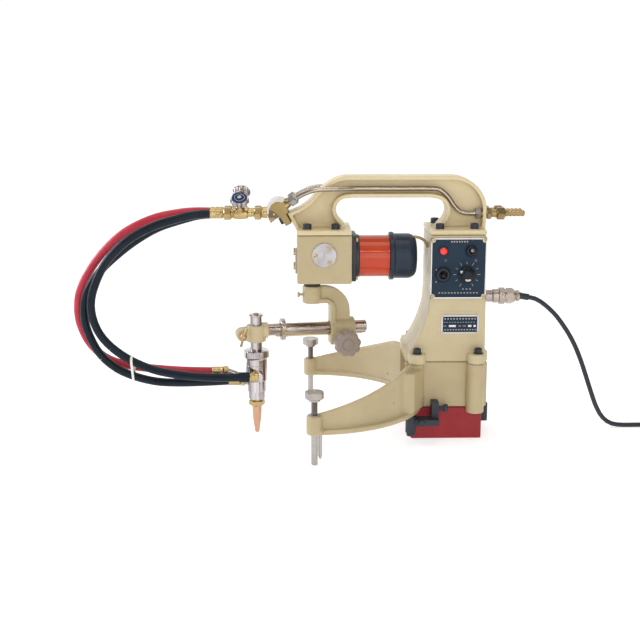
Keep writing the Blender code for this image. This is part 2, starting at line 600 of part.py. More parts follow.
def rack_outline():
    """Side view of the rack, with a gap between teeth over the pinion."""
    (x0, x1), root, tip = RACK_X, PINION_Z + 5.85, PINION_Z + 4.55
    teeth = []
    first = math.ceil((x0 + 1 - PINION_X) / RACK_PITCH)
    last = math.floor((x1 - 2 - PINION_X) / RACK_PITCH)
    for number in range(first, last):
        centre = PINION_X + (number + 0.5) * RACK_PITCH
        teeth += [(centre - 0.75, root), (centre - 0.35, tip), (centre + 0.35, tip), (centre + 0.75, root)]
    return [(x0, root), *teeth, (x1, root), (x1, 135.4), (x0, 135.4)]


def make_bar(bar):
    """The sliding bar with its rack, stop collar and torch clamp; bar is on the bar's axis."""
    slider = rod("slide_bar", BAR_R, *BAR_X, CHROME, (0, 0, 0), (1, 0, 0), 32, bar, 0.8)
    x0, x1 = RACK_X
    carve(slider, block("rack_slot", (x0 - GAP, -2.8, 130 - BAR_Z), (x1 + 5, 2.8, 135.7 - BAR_Z), parent=bar))
    rack = prism("rack", [rack_outline()], -2.5, 2.5, BRASS, "XZ", bar, (0, 0, -BAR_Z))
    clamp = rod("torch_clamp", 13, 127 - BAR_Z, 149.3 - BAR_Z, CREAM, (-TORCH_R, 0, 0), steps=28, parent=bar,
                chamfer=1.2)
    lug_end = (-TORCH_R - 19, -4)
    lug = [(-TORCH_R, 5.5), (-TORCH_R, -12.5), (lug_end[0], -12)] + arc(lug_end, 8, 270, 90, 9)[1:]
    fuse(clamp, prism("clamp_lug", [lug[::-1]], -8.5, 8.5, plane="XZ", parent=bar))
    fuse(clamp, rod("bar_socket", 10.5, -TORCH_R + 2, BAR_X[0] + 6, CREAM, (0, 0, 0), (1, 0, 0), 24, bar))
    carve(clamp, rod("stem_bore", 8.3, -30, 30, STEEL, (-TORCH_R, 0, 0), parent=bar))
    carve(clamp, block("clamp_slit", (-TORCH_R - 40, -1, -30), (-TORCH_R, 1, 30), parent=bar))
    carve(clamp, rod("clamp_bore", 3.3, -20, 20, STEEL, (lug_end[0], 0, lug_end[1]), (0, -1, 0), 16, bar))
    carve(clamp, rod("bar_end_bore", BAR_R + GAP, BAR_X[0] - GAP, 0, STEEL, (0, 0, 0), (1, 0, 0), 24, bar))


def make_stop_collar(collar):
    piece = ring("stop_collar", BAR_R + GAP, 14.5, -2.6, 2.6, CHROME, (0, 0, 0), (1, 0, 0), 32, collar)
    carve(piece, block("rack_notch", (-5, -2.9, 130.8 - BAR_Z), (5, 2.9, 0), parent=collar))


def make_clamp_lever(lever):
    """The clamp screw and its bent brass lever; lever is on the screw's axis."""
    screw = [(0, 13), (5, 13), (5, 9), (3, 9), (3, -11), (0, -11)]
    piece = turned("clamp_lever", screw, BRASS, (0, 0, 0), (0, -1, 0), 16, lever)
    grip = tube("lever_rod", [(0, -11, 0), (-1.2, -13.5, -4), (-2.4, -16, -9), (-4.5, -18, -15)], 1.9, BRASS,
                4, parent=lever)
    fuse(piece, meshed(grip))


def make_torch(torch):
    """The torch; torch is on its axis, at the height of the ground, and is not turned with the arm."""
    body = [(0, 163.5), (9.6, 163.5), (9.6, 161), (8, 157), (8, 116), (15.4, 116), (16.4, 115), (16.4, 106),
            (15.4, 105), (14, 104), (14, 75), (12.5, 73.5), (12.5, 59.5), (11.2, 58.5), (11.2, 49.5),
            (9.8, 48), (0, 48)]
    piece = turned("torch_body", body, CHROME, (0, 0, 0), steps=24, parent=torch)
    near, far = -20.0, 20.0
    fuse(piece, rod("near_boss", 4.6, 8, -near + 5, CHROME, (0, 0, 83), (0, -1, 0), 14, torch, 1))
    fuse(piece, rod("near_nipple", 4.4, 0, 8.3, BRASS, (0, near, 83), (-1, 0, 0), 14, torch))
    fuse(piece, rod("far_boss", 4.6, 8, far + 5, CHROME, (0, 0, 81), (0, 1, 0), 14, torch, 1))
    fuse(piece, rod("far_nipple", 4.4, 0, 40, BRASS, (0, far, 81), (-1, 0, 0), 14, torch))
    fuse(piece, rod("middle_nipple", 4.4, 5, 36.7, BRASS, (0, 0, 73), (-1, 0, 0), 14, torch))
    hexagon("nozzle_nut", 19, 39, 48 - GAP, BRASS, (0, 0, 0), parent=torch, spin=12)
    tip = [(0, 39 - GAP), (6.1, 39 - GAP), (6.1, 30), (5.7, 22), (3.1, 5), (2.6, 3), (1.1, 3), (1.1, 8),
           (0, 8)]
    turned("nozzle", tip, COPPER, (0, 0, 0), steps=24, parent=torch)


# ---------------------------------------------------------------- feet and release jack
def make_foot_screws():
    screw = [(0, 94), (11, 94), (11.6, 93.2), (11.6, 88.8), (11, 88), (7, 88), (7, 84), (SPINDLE_R, 84),
             (SPINDLE_R, 1), (SPINDLE_R - 1, 0), (0, 0)]
    for name, side in (("near_foot_screw", -1), ("far_foot_screw", 1)):
        turned(name, screw, STEEL, (AXIS_X, side * FOOT_Y, 0))
    pin = [(0, LEG_LOW - 0.4 - GAP), (2.4, LEG_LOW - 0.4 - GAP), (2.4, 11), (0, 7)]
    turned("locating_pin", pin, STEEL, (AXIS_X + 7.2, -FOOT_Y + 0.5, 0), steps=16)


def make_release_jack():
    """A black bracket on the magnet's corner, with the jack screw that breaks the magnet's hold."""
    bracket = block("release_bracket", (-21.5, -61, 26.5), (-12.5, -43.3, 54.5), BLACK_STEEL)
    fuse(bracket, block("jack_arm", (-52, -71, 26.5), (-12.6, -52, 34), BLACK_STEEL))
    fuse(bracket, rod("jack_nut", 7, 17, 38, BLACK_STEEL, (-49.3, -66, 0)))
    carve(bracket, rod("jack_hole", 3.8, 10, 45, STEEL, (-49.3, -66, 0), steps=16))
    fuse(bracket, rod("thumb_screw", 3.2, -3, 9, BLACK_STEEL, (-15, -52, 45), (1, 0, 0), 16))
    screw = [(0, 37.5), (3.5, 37.5), (3.5, 16.5), (5.6, 16.5), (5.6, 12.8), (4.8, 12), (0, 12)]
    turned("release_screw", screw, BLACK_STEEL, (-49.3, -66, 0), steps=20)


# ---------------------------------------------------------------- gas manifold, valves, pipes, hoses
def make_manifold():
    outline = [(-209.8, 281.2), (-205.2, 283), (-211.3, 295), (-206.5, 300.4), (-213.6, 310.6), (-218.6, 313),
               (-224, 312.4), (-229.4, 309), (-233.2, 303.6), (-233.7, 295), (-233, 289), (-229.8, 284.5),
               (-223, 288.7), (-218.6, 291.2)]
    block_piece = prism("manifold_block", [outline], -19, 19, BRASS, plane="XZ")
    return block_piece


def make_valve(name, side):
    """A needle valve from the manifold to a crimped hose end, one solid along -X."""
    at = (0, side * VALVE_Y, VALVE_Z)
    body = [(0, -234), (6.2, -234), (6.2, -241), (4.7, -241), (4.7, -258), (5.5, -258), (5.5, -292),
            (6.5, -292),
            (6.5, -308), (0, -308)]
    piece = turned(name, body, BRASS, at, (1, 0, 0), 14)
    fuse(piece, hexagon("coupling_nut", 15, -251.2, -241.5, BRASS, at, (1, 0, 0)))
    fuse(piece, hexagon("valve_block", 14, -278, -259, BRASS, at, (1, 0, 0)))
    fuse(piece, hexagon("hose_nut", 15, -290.8, -279.5, BRASS, at, (1, 0, 0)))
    tilt = math.radians(VALVE_TILT)
    axis = (0, side * math.sin(tilt), math.cos(tilt))
    stem_at = (VALVE_X, side * VALVE_Y, VALVE_Z)
    fuse(piece, rod("gland", 5.2, 3, 17, BRASS, stem_at, axis, 16))
    wheel = prism(name.replace("body", "wheel"), [lobed_outline(7, 12.2, 1.9, 42)], 18.5, 28.5, CHROME,
                  at=stem_at)
    wheel.rotation_euler = facing(axis).to_euler()
    softened(wheel, 1.3)
    carve(wheel, rod("gland_recess", 5.6, 10, 20, STEEL, stem_at, axis, 16))


def make_third_outlet():
    """An elbow on the manifold's far face, for the third hose."""
    piece = rod("third_outlet", 4.6, 19 + GAP, 34.6, BRASS, (-224, 0, 296), (0, 1, 0), 20)
    fuse(piece, rod("outlet_pipe", 4.4, 2, 84.2, BRASS, (-224.1, 30, 296), (-1, 0, -0.07), 20))
    return piece


def make_gas_pipe(name, side):
    """A bent pipe along one side of the handle, with a union nut at each end."""
    start = Vector((-208.5, side * 14.5, 306.5))
    slope = Vector((0.82, side * 0.12, 0.56)).normalized()
    route = [tuple(start + slope * 6), tuple(start + slope * 14), (-186, side * 18, 321),
             (-175, side * 19.3, 325.8),
             (-163, side * 19.5, 327.8), (-148, side * 18.5, 328), (-132, side * 14, 328),
             (-115, side * 10, 328),
             (-60, side * FITTING_Y, 327.8), (-20, side * FITTING_Y, 327.6), (-9, side * FITTING_Y, 325),
             (0.5, side * FITTING_Y, 316.5), (8, side * FITTING_Y, 305.8), (16, side * FITTING_Y, 298),
             (26, side * FITTING_Y, 295.4), (38, side * FITTING_Y, FITTING_Z)]
    pipe = meshed(tube(name, route, 3.0, STEEL, spacing=7))
    nut_at = tuple(start)
    fuse(pipe, hexagon("left_nut", 13, 2.2, 13, STEEL, nut_at, tuple(slope), spin=20))
    fuse(pipe, hexagon("right_nut", 13.4, 35.5, 43.2, STEEL, (0, side * FITTING_Y, FITTING_Z), (1, 0, 0),
                       spin=30))
    return pipe


def make_inlet_fitting(name, side):
    at = (0, side * FITTING_Y, FITTING_Z)
    barb = [(0, 43.4), (5, 43.4), (5, 63), (4.2, 74), (4.2, 82), (3.6, 82.4), (4.2, 90), (3.6, 90.4), (4, 97),
            (3.3, 100), (1.8, 100), (1.8, 80), (0, 80)]
    piece = turned(name, barb[::-1], BRASS, at, (1, 0, 0), 14)
    fuse(piece, hexagon("body_hex", 14.5, 50.3, 56.5, BRASS, at, (1, 0, 0), spin=30))
    fuse(piece, hexagon("hose_hex", 15.5, 63.5, 74, BRASS, at, (1, 0, 0), spin=30))
    return piece


def make_hoses():
    for name, route, mat in (("red_hose", RED_HOSE, RED_RUBBER),
                             ("upper_black_hose", UPPER_BLACK_HOSE, RUBBER),
                             ("lower_black_hose", LOWER_BLACK_HOSE, RUBBER)):
        tube(name, route, HOSE_R, mat, spacing=20)


# ---------------------------------------------------------------- controls and power supply
def make_panel():
    (x0, x1), (z0, z1) = PANEL_X, PANEL_Z
    front = -COLUMN_Y - 2.0
    panel = block("control_panel", (x0, front, z0), (x1, -COLUMN_Y - GAP, z1), BLACK)
    toward = (0, -1, 0)
    for (x, z), radius in ((LAMP_AT, 5.3), (TOGGLE_AT, 6.3), (DIRECTION_AT, 6.3), (KNOB_AT, 3.4)):
        carve(panel, rod("panel_hole", radius, 30, 60, STEEL, (x, 0, z), toward, 20))
    lamp = [(0, 49.5), (2.5, 49.2), (4.4, 47.8), (5.3, 46.9), (6.3, 46.9), (6.3, 45 + GAP), (5, 45 + GAP),
            (5, 30), (0, 30)]
    turned("indicator_lamp", lamp, LAMP_RED, (LAMP_AT[0], 0, LAMP_AT[1]), toward)
    for name, (x, z), rim in (("power_switch", TOGGLE_AT, 8.5), ("direction_switch", DIRECTION_AT, 9.2)):
        switch = [(0, 40), (4.8, 41), (4.8, 49), (rim - 1, 49), (rim, 48), (rim, 45 + GAP), (6, 45 + GAP),
                  (6, 28), (0, 28)]
        turned(name, switch, BLACK, (x, 0, z), toward)


def make_speed_knob():
    at = (KNOB_AT[0], -45 - GAP, KNOB_AT[1])
    knob = prism("speed_knob", [lobed_outline(12, 10.6, 0.6, 48)], 0.4, 12, BLACK, at=at)
    knob.rotation_euler = facing((0, -1, 0)).to_euler()
    softened(knob, 0.6)
    fuse(knob, rod("knob_shaft", 3, -16, 2, STEEL, at, (0, -1, 0), 16))


def make_switch_levers():
    for name, (x, z), mat, tilt in (("power_lever", TOGGLE_AT, CHROME, 8),
                                    ("direction_lever", DIRECTION_AT, BLACK, 0)):
        lever = [(0, 15.2), (1.9, 14.6), (2.5, 13), (2.3, 10), (1.6, 4), (1.6, 0), (0, 0)]
        lean = math.radians(tilt)
        turned(name, lever, mat, (x, -42.5, z), (0, -math.cos(lean), math.sin(lean)), 10)


def make_supply():
    at = (0, 0, SOCKET_Z)
    along = (1, 0, 0)
    socket = [(0, 62.5), (8, 62.5), (8, 32), (0, 32)]
    piece = turned("mains_socket", socket, CHROME, at, along)
    fuse(piece, ring("socket_rim", 7, 10.5, COLUMN_RIGHT + 1.5, 51.8, CHROME, at, along))
    plug = [(0, 99.5), (6.2, 99.5), (7.3, 96), (6.8, 93), (9.3, 91.5), (9.3, 80), (9.3, 79.5), (11, 78.5),
            (11, 72),
            (9.2, 71), (9.2, 63.2), (0, 63.2)]
    connector = turned("cable_connector", plug, STEEL, at, along)
    slope = (1, 0, -0.16)
    relief = rod("strain_relief", 4.4, 0, 13.2, RUBBER, (99, 0, SOCKET_Z), slope, 16)
    fuse(connector, relief)
    tube("power_cable", POWER_CABLE, CABLE_R, RUBBER, spacing=14)
    ring("power_cable_coil", COIL_IN, COIL_R, 0.1, COIL_HEIGHT, RUBBER, (*COIL_AT, 0), steps=40)
    x, y = COIL_AT
    base = COIL_HEIGHT + GAP
    shell = [rounded_rectangle((x - 14, y - 13), (x + 22, y + 13), 5, 4)]
    body = prism("mains_plug", shell, base, base + 19, BLACK)
    for side in (-1, 1):
        fuse(body, block("pin", (x - 32, y + side * 6.3 - 0.8, base + 6.5),
                         (x - 12, y + side * 6.3 + 0.8, base + 12.5),
                         BRASS))
    fuse(body, rod("plug_relief", 4.2, 20, 44, BLACK, (x, y, base + 9.5), (1, 0, 0), 16))


def make_name_plate():
    plate = block("name_plate", (-10, -COLUMN_Y - 2.4, 143), (39, -COLUMN_Y - 1.2 - GAP, 168), ALUMINIUM)
    softened(plate, 0.3)


# ---------------------------------------------------------------- assembly
make_magnet()
make_leg_yoke()
make_column()
make_handle()
make_gearbox()
make_motor()

ARM = empty("swing_axis", (AXIS_X, 0, 0), turn_z=ARM_TURN)
WORM = empty("worm_axis", (CROSS_X, 0, CROSS_Z))
ROTOR = empty("motor_axis", (0, 0, MOTOR_Z))
BAR = empty("bar_axis", (0, 0, BAR_Z), ARM)
KNOB = empty("pinion_axis", (PINION_X, 0, PINION_Z), ARM)
COLLAR = empty("collar_axis", (COLLAR_X, 0, 0), BAR)
LEVER = empty("clamp_screw_axis", (-TORCH_R - 19, 0, -4), BAR)
TORCH = empty("torch_axis", (-TORCH_R, 0, -BAR_Z), BAR, turn_z=-ARM_TURN)

make_drive(ARM, WORM, ROTOR)
make_swing_bracket(ARM)
make_radius_knob(KNOB)
make_bar(BAR)
make_stop_collar(COLLAR)
make_clamp_lever(LEVER)
make_torch(TORCH)
make_foot_screws()
make_release_jack()
make_manifold()
for WHICH, SIDE in (("near", -1), ("far", 1)):
    make_valve(WHICH + "_valve_body", SIDE)
    make_gas_pipe(WHICH + "_gas_pipe", SIDE)
    make_inlet_fitting(WHICH + "_inlet_fitting", SIDE)
make_third_outlet()
make_hoses()
make_panel()
make_speed_knob()
make_switch_levers()
make_supply()
make_name_plate()
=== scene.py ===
"""Looks for the magnetic-base gas hole-cutting machine.

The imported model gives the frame. Castings are remade with soft cast edges, turned pieces are remade with
fine profiles and knurls, and screws, marks, hoses and the mains cable are added. Lengths are in
millimetres in the row frame unless a name says otherwise; the helpers turn them into metres.
"""
import json
import math

import bmesh
import bpy
from mathutils import Matrix, Vector


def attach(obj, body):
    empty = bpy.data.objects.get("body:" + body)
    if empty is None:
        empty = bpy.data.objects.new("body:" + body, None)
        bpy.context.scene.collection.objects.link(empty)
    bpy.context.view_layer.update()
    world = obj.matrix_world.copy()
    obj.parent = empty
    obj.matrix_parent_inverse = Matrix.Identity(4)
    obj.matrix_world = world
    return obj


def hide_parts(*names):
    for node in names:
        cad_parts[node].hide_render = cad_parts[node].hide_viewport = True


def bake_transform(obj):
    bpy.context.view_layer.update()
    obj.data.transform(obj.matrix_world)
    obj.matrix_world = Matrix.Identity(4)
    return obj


MM = 0.001
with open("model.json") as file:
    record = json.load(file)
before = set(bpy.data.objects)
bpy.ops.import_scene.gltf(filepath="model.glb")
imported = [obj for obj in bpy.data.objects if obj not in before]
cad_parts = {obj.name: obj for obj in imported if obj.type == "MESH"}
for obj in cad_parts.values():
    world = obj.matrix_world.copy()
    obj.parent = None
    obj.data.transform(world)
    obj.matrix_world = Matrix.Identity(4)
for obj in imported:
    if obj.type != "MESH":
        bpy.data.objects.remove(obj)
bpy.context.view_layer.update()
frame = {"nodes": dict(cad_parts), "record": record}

# Places that the model's script also uses
AXIS_X, ARM_TURN, BAR_Z, TORCH_R = -176.0, 10.0, 141.5, 75.5
FOOT_Y = 141.0
MOTOR_Z, CROSS_X, CROSS_Z = 238.4, -162.5, 245.7
PINION = (40.0, 126.8)
PANEL_Y = -45.0
LAMP, TOGGLE, DIRECTION, KNOB = (-9.0, 251.5), (26.5, 251.5), (-9.0, 221.0), (21.5, 220.9)
VALVE_Y, VALVE_Z, VALVE_X, VALVE_TILT = 10.5, 296.0, -269.0, 37.5
SOCKET_Z = 184.0
COLUMN_FLANGE_Z, HANDLE_FLANGE_Z = 118.0, 277.6
PIPE_END_Y, PIPE_END_Z = 9.6, 295.3
NAME_PLATE_Y = -45.4
HOSE_D, CABLE_D = 0.011, 0.0062  # in metres
TIE_X = -417  # where the cable tie holds the two black hoses together
SOFT_EDGE = 60
EDGE_ANGLE = 32  # faces that meet at more degrees than this show a sharp edge

ARM = Matrix.Translation((AXIS_X * MM, 0, 0)) @ Matrix.Rotation(math.radians(ARM_TURN), 4, "Z")
TORCH = ARM @ Matrix.Translation((-TORCH_R * MM, 0, 0)) @ Matrix.Rotation(math.radians(-ARM_TURN), 4, "Z")
WORLD = Matrix.Identity(4)
FRONT, BACK, RIGHT, LEFT, UP = (0, -1, 0), (0, 1, 0), (1, 0, 0), (-1, 0, 0), (0, 0, 1)
UPRIGHT = Matrix.Rotation(math.pi / 2, 4, "X")  # an outline drawn in x and y stands up in x and z


# ---------------- camera, floor and light
VIEW_TARGET, VIEW_DISTANCE, VIEW_LENS = (-0.1657, 0.0, 0.1522), 1.53, 64.7
VIEW_ELEVATION, VIEW_AZIMUTH = math.radians(12.5), math.radians(-1.4)
LIGHT_TARGET = (-0.15, 0, 0.15)
BACKDROP = (1.03, 1.03, 1.03)
# how bright the room is, from the floor to the ceiling and then from left to right
ROOM = ((0.0, 0.80), (0.10, 0.55), (0.22, 0.36), (0.42, 0.22), (0.60, 0.24), (0.78, 0.5), (1.0, 0.9))
BANDS = ((0.0, 0.9), (0.12, 1.5), (0.24, 0.6), (0.36, 1.7), (0.46, 1.15), (0.54, 1.1), (0.585, 0.35), (0.63, 0.4),
    (0.70, 1.7), (0.80, 1.2), (0.92, 0.55), (1.0, 0.9))
SOFT_BOXES = (  # name, place, size, power, colour, shows in reflections
    ("key", (-1.8, 0.25, 0.8), (0.8, 0.8), 16, (0.84, 0.95, 1.2), True),
    ("strip", (0.0, -1.5, 1.25), (1.5, 0.05), 3.0, (1, 1, 1), True),
    ("front", (0.1, -1.8, 0.6), (1.1, 0.9), 4.9, (1, 1, 1), True),
    ("front_fill", (0.1, -1.8, 0.6), (1.1, 0.9), 4.9, (1, 1, 1), False),
    ("top", (-0.1, -0.1, 1.7), (1.0, 1.0), 4, (1, 1, 1), True),
)


def add_object(name, data):
    obj = bpy.data.objects.new(name, data)
    bpy.context.collection.objects.link(obj)
    return obj


def make_camera():
    away = Vector((math.sin(VIEW_AZIMUTH) * math.cos(VIEW_ELEVATION),
        -math.cos(VIEW_AZIMUTH) * math.cos(VIEW_ELEVATION), math.sin(VIEW_ELEVATION)))
    camera = add_object("camera", bpy.data.cameras.new("camera"))
    camera.location = Vector(VIEW_TARGET) + VIEW_DISTANCE * away
    camera.rotation_euler = (math.pi / 2 - VIEW_ELEVATION, 0, VIEW_AZIMUTH)
    camera.data.lens = VIEW_LENS
    camera.data.sensor_width = 36
    bpy.context.scene.camera = camera


def make_floor():
    bm = bmesh.new()
    bmesh.ops.create_grid(bm, x_segments=1, y_segments=1, size=40)
    mesh = bpy.data.meshes.new("floor")
    bm.to_mesh(mesh)
    bm.free()
    g = Graph("floor", (0.6, 0.6, 0.6), 1.0, Specular_IOR_Level=0.0, Emission_Color=(1, 1, 1, 1),
        Emission_Strength=0.62)
    mesh.materials.append(g.mat)
    add_object("floor", mesh)


def make_room():
    """A white backdrop behind the machine, and a dimmer room with bright and dark bands in front of it."""
    world = bpy.data.worlds.new("studio")
    world.use_nodes = True
    g = Nodes(world.node_tree)
    x, y, z = g.node("SeparateXYZ", Vector=g.node("TexCoord").outputs["Generated"]).outputs
    room = g.ramp(z, [(spot, (level, level * 0.94, level * 0.88)) for spot, level in ROOM])
    bands = g.ramp(g.remap(x, -1, 1), [(spot, (level, level, level)) for spot, level in BANDS])
    colour = g.mix(g.remap(y, 0.05, 0.55), g.mix(1.0, room, bands, "MULTIPLY"), BACKDROP)
    g.tree.links.new(colour, g.tree.nodes["Background"].inputs["Color"])
    bpy.context.scene.world = world
    bpy.context.scene.view_settings.view_transform = "Standard"


def make_lights():
    for name, spot, (wide, high), power, colour, glossy in SOFT_BOXES:
        lamp = bpy.data.lights.new(name, "AREA")
        lamp.shape = "RECTANGLE"
        lamp.size, lamp.size_y, lamp.energy, lamp.color = wide, high, power, colour
        obj = add_object(name, lamp)
        obj.location = spot
        obj.rotation_euler = (Vector(LIGHT_TARGET) - Vector(spot)).to_track_quat("-Z", "Y").to_euler()
        obj.visible_glossy = glossy


# ---------------- materials
class Nodes:
    """A node tree, with the few moves that the room and the finishes need."""

    def __init__(self, tree):
        self.tree = tree

    def node(self, kind, **inputs):
        made = self.tree.nodes.new("ShaderNode" + kind)
        for key, value in inputs.items():
            self.feed(made.inputs[key.replace("_", " ")], value)
        return made

    def feed(self, socket, value):
        if isinstance(value, bpy.types.NodeSocket):
            self.tree.links.new(value, socket)
        else:
            socket.default_value = value

    def ramp(self, value, stops):
        made = self.node("ValToRGB", Fac=value)
        while len(made.color_ramp.elements) < len(stops):
            made.color_ramp.elements.new(0.5)
        for element, (spot, colour) in zip(made.color_ramp.elements, stops):
            element.position = spot
            element.color = (*colour, 1)
        return made.outputs["Color"]

    def remap(self, value, low, high, to_low=0.0, to_high=1.0):
        made = self.node("MapRange")
        for index, number in enumerate((value, low, high, to_low, to_high)):
            self.feed(made.inputs[index], number)
        return made.outputs[0]

    def mix(self, factor, first, second, blend="MIX"):
        made = self.node("Mix")
        made.data_type = "RGBA"
        made.blend_type = blend
        for index, value in ((0, factor), (6, first), (7, second)):
            self.feed(made.inputs[index], (*value, 1) if isinstance(value, tuple) else value)
        return made.outputs[2]

    def math(self, operation, first, second):
        made = self.node("Math")
        made.operation = operation
        self.feed(made.inputs[0], first)
        self.feed(made.inputs[1], second)
        return made.outputs[0]


FINISHES = {}  # every material by its name


class Graph(Nodes):
    """A material's nodes."""

    def __init__(self, name, colour, roughness, metallic=0.0, **settings):
        self.mat = bpy.data.materials.new(name)
        FINISHES[name] = self.mat
        self.mat.use_nodes = True
        self.mat.diffuse_color = (*colour, 1)
        super().__init__(self.mat.node_tree)
        self.shader = self.tree.nodes["Principled BSDF"]
        for key, value in {"Base Color": (*colour, 1), "Roughness": roughness, "Metallic": metallic,
                **settings}.items():
            self.shader.inputs[key.replace("_", " ")].default_value = value
        self.where = self.node("TexCoord").outputs["Object"]

    def noise(self, scale, detail=3.0, stretch=None, roughness=0.55):
        where = self.where
        if stretch:
            where = self.node("Mapping", Vector=where, Scale=stretch).outputs[0]
        return self.node("TexNoise", Vector=where, Scale=scale, Detail=detail, Roughness=roughness).outputs["Fac"]

    def link(self, socket, value):
        self.tree.links.new(value, self.shader.inputs[socket])

    def bump(self, height, strength, distance, onto=None):
        made = self.node("Bump", Height=height, Strength=strength, Distance=distance)
        if onto:
            self.feed(made.inputs["Normal"], onto)
        self.link("Normal", made.outputs[0])
        return made.outputs[0]


def turned_face():
    """Aluminium faced in a lathe: its fine rings spread each highlight into a bow across the disc."""
    g = Graph("turned_aluminium", (0.45, 0.43, 0.44), 0.32, 1.0, Anisotropic=0.85)
    tangent = g.tree.nodes.new("ShaderNodeTangent")
    tangent.direction_type = "RADIAL"
    tangent.axis = "Y"
    g.link("Tangent", tangent.outputs[0])
    g.link("Roughness", g.remap(g.noise(300, 3), 0.3, 0.7, 0.26, 0.4))
    g.link("Base Color", g.mix(g.remap(g.noise(50, 3), 0.4, 0.8, 0.0, 0.6), (0.47, 0.45, 0.46), (0.37, 0.35, 0.35)))
    g.bump(g.noise(900, 2), 0.1, 0.0001)
    return g.mat


def enamel(name, colour, dirt, roughness, chips=None, lacquer=0.0):
    """Brushed or sprayed enamel on a casting: orange peel, faint blotches and a little grime."""
    g = Graph(name, colour, roughness, Specular_IOR_Level=0.5 - 0.5 * lacquer, Coat_Weight=lacquer,
        Coat_Roughness=0.05)
    blotch = g.remap(g.noise(28, 4), 0.35, 0.75, 0.0, 0.5)
    tone = g.mix(blotch, colour, dirt)
    speck = g.remap(g.noise(420, 2), 0.66, 0.78, 0.0, 0.4)
    tone = g.mix(speck, tone, tuple(0.45 * c for c in dirt))
    if chips:
        worn = g.remap(g.noise(95, 2), 0.745, 0.77)
        tone = g.mix(worn, tone, chips)
    g.link("Base Color", tone)
    g.link("Roughness", g.remap(g.noise(60, 3), 0.3, 0.7, roughness - 0.07, roughness + 0.1))
    peel = g.bump(g.noise(330, 2), 0.16, 0.0007)
    g.bump(g.noise(70, 3), 0.22, 0.0016, peel)
    return g.mat


def metal(name, colour, roughness, tarnish, stretch=None, depth=0.00012):
    """Machined or plated metal: fine tool marks, uneven gloss and some tarnish."""
    g = Graph(name, colour, roughness, 1.0)
    stain = g.remap(g.noise(45, 4), 0.42, 0.8, 0.0, 0.75)
    g.link("Base Color", g.mix(stain, colour, tarnish))
    marks = g.noise(900, 2, stretch)
    g.link("Roughness", g.remap(marks, 0.25, 0.75, roughness * 0.75, roughness * 1.45))
    g.bump(marks, 0.25, depth)
    return g.mat


def painted_reflection_bands(name, colour, roughness, shade, stretch):
    """Plating with painted reflections: darker streaks, long along the stretch direction, stand in for the dark bands
    that a plated cylinder reflects along its length.
    """
    g = Graph(name, colour, roughness, 1.0)
    reflection_band = g.remap(g.noise(1.0, 3, stretch, 0.6), 0.42, 0.62)
    g.link("Base Color", g.mix(reflection_band, colour, shade))
    g.link("Roughness", g.remap(g.noise(140, 3), 0.3, 0.7, roughness * 0.8, roughness * 1.6))
    g.bump(g.noise(900, 2), 0.12, 0.0001)
    return g.mat


def plastic(name, colour, pale, roughness, grain=600, strength=0.12, shine=0.5):
    g = Graph(name, colour, roughness, Specular_IOR_Level=shine)
    g.link("Base Color", g.mix(g.remap(g.noise(40, 4), 0.4, 0.8, 0.0, 0.6), colour, pale))
    g.link("Roughness", g.remap(g.noise(80, 3), 0.3, 0.7, roughness - 0.08, roughness + 0.1))
    g.bump(g.noise(grain, 2), strength, 0.0005)
    return g.mat


def hose_rubber(name, colour, pale, roughness, shine):
    """Smooth hose rubber that shows its braid faintly; u runs round the hose and v along it."""
    g = Graph(name, colour, roughness, Specular_IOR_Level=shine)
    where = g.tree.nodes.new("ShaderNodeUVMap").outputs[0]
    braid = []
    for sign in (1, -1):
        turned = g.node("Mapping", Vector=where, Scale=(10.0, sign * 230.0, 1))
        u, v, _ = g.node("SeparateXYZ", Vector=turned.outputs[0]).outputs
        braid.append(g.math("PINGPONG", g.math("ADD", u, v), 0.5))
    g.link("Base Color", g.mix(g.remap(g.noise(35, 4), 0.4, 0.85, 0.0, 0.55), colour, pale))
    g.link("Roughness", g.remap(g.noise(120, 3), 0.3, 0.7, roughness - 0.08, roughness + 0.12))
    fine = g.bump(g.noise(700, 2), 0.12, 0.0004)
    g.bump(g.math("MAXIMUM", *braid), 0.07, 0.0005, fine)
    return g.mat


# One cream enamel in several copies: the handle's copy is a lighter cream, as painted light against its shaded
# recess, and the gearbox, swing bracket and leg copies are darker creams, as painted shade; the chips on the legs are
# real wear.
CREAM = enamel("cream_enamel", (0.57, 0.48, 0.295), (0.465, 0.38, 0.21), 0.34)
CREAM_WITH_PAINTED_LIGHT = enamel("cream_enamel_pale", (0.68, 0.575, 0.35), (0.56, 0.465, 0.265), 0.34)
CREAM_WITH_PAINTED_SHADE = enamel("cream_enamel_deep", (0.49, 0.402, 0.232), (0.40, 0.32, 0.168), 0.34)
CHIPPED_CREAM_WITH_PAINTED_SHADE = enamel("cream_enamel_chipped", (0.49, 0.40, 0.23), (0.39, 0.31, 0.162), 0.36, (0.30, 0.09, 0.03))
enamel("red_enamel", (0.31, 0.008, 0.014), (0.21, 0.007, 0.012), 0.55)
ORANGE = enamel("orange_enamel", (0.52, 0.044, 0.006), (0.45, 0.035, 0.005), 0.45, None, 0.8)
BLACK_STEEL = plastic("black_steel", (0.012, 0.019, 0.029), (0.035, 0.044, 0.056), 0.45, 500, 0.2)
PANEL_BLACK = plastic("panel_black", (0.012, 0.028, 0.052), (0.016, 0.035, 0.060), 0.6, 900, 0.05, 0.25)
BLACK_PLASTIC = plastic("black_plastic", (0.005, 0.009, 0.014), (0.014, 0.019, 0.026), 0.3, 600, 0.12, 0.25)
CAP_PLASTIC = plastic("cap_plastic", (0.004, 0.015, 0.034), (0.020, 0.038, 0.062), 0.36, 260, 0.16, 0.4)
KNOB_GREY = plastic("grey_plastic", (0.27, 0.216, 0.182), (0.36, 0.30, 0.258), 0.5, 420, 0.2)
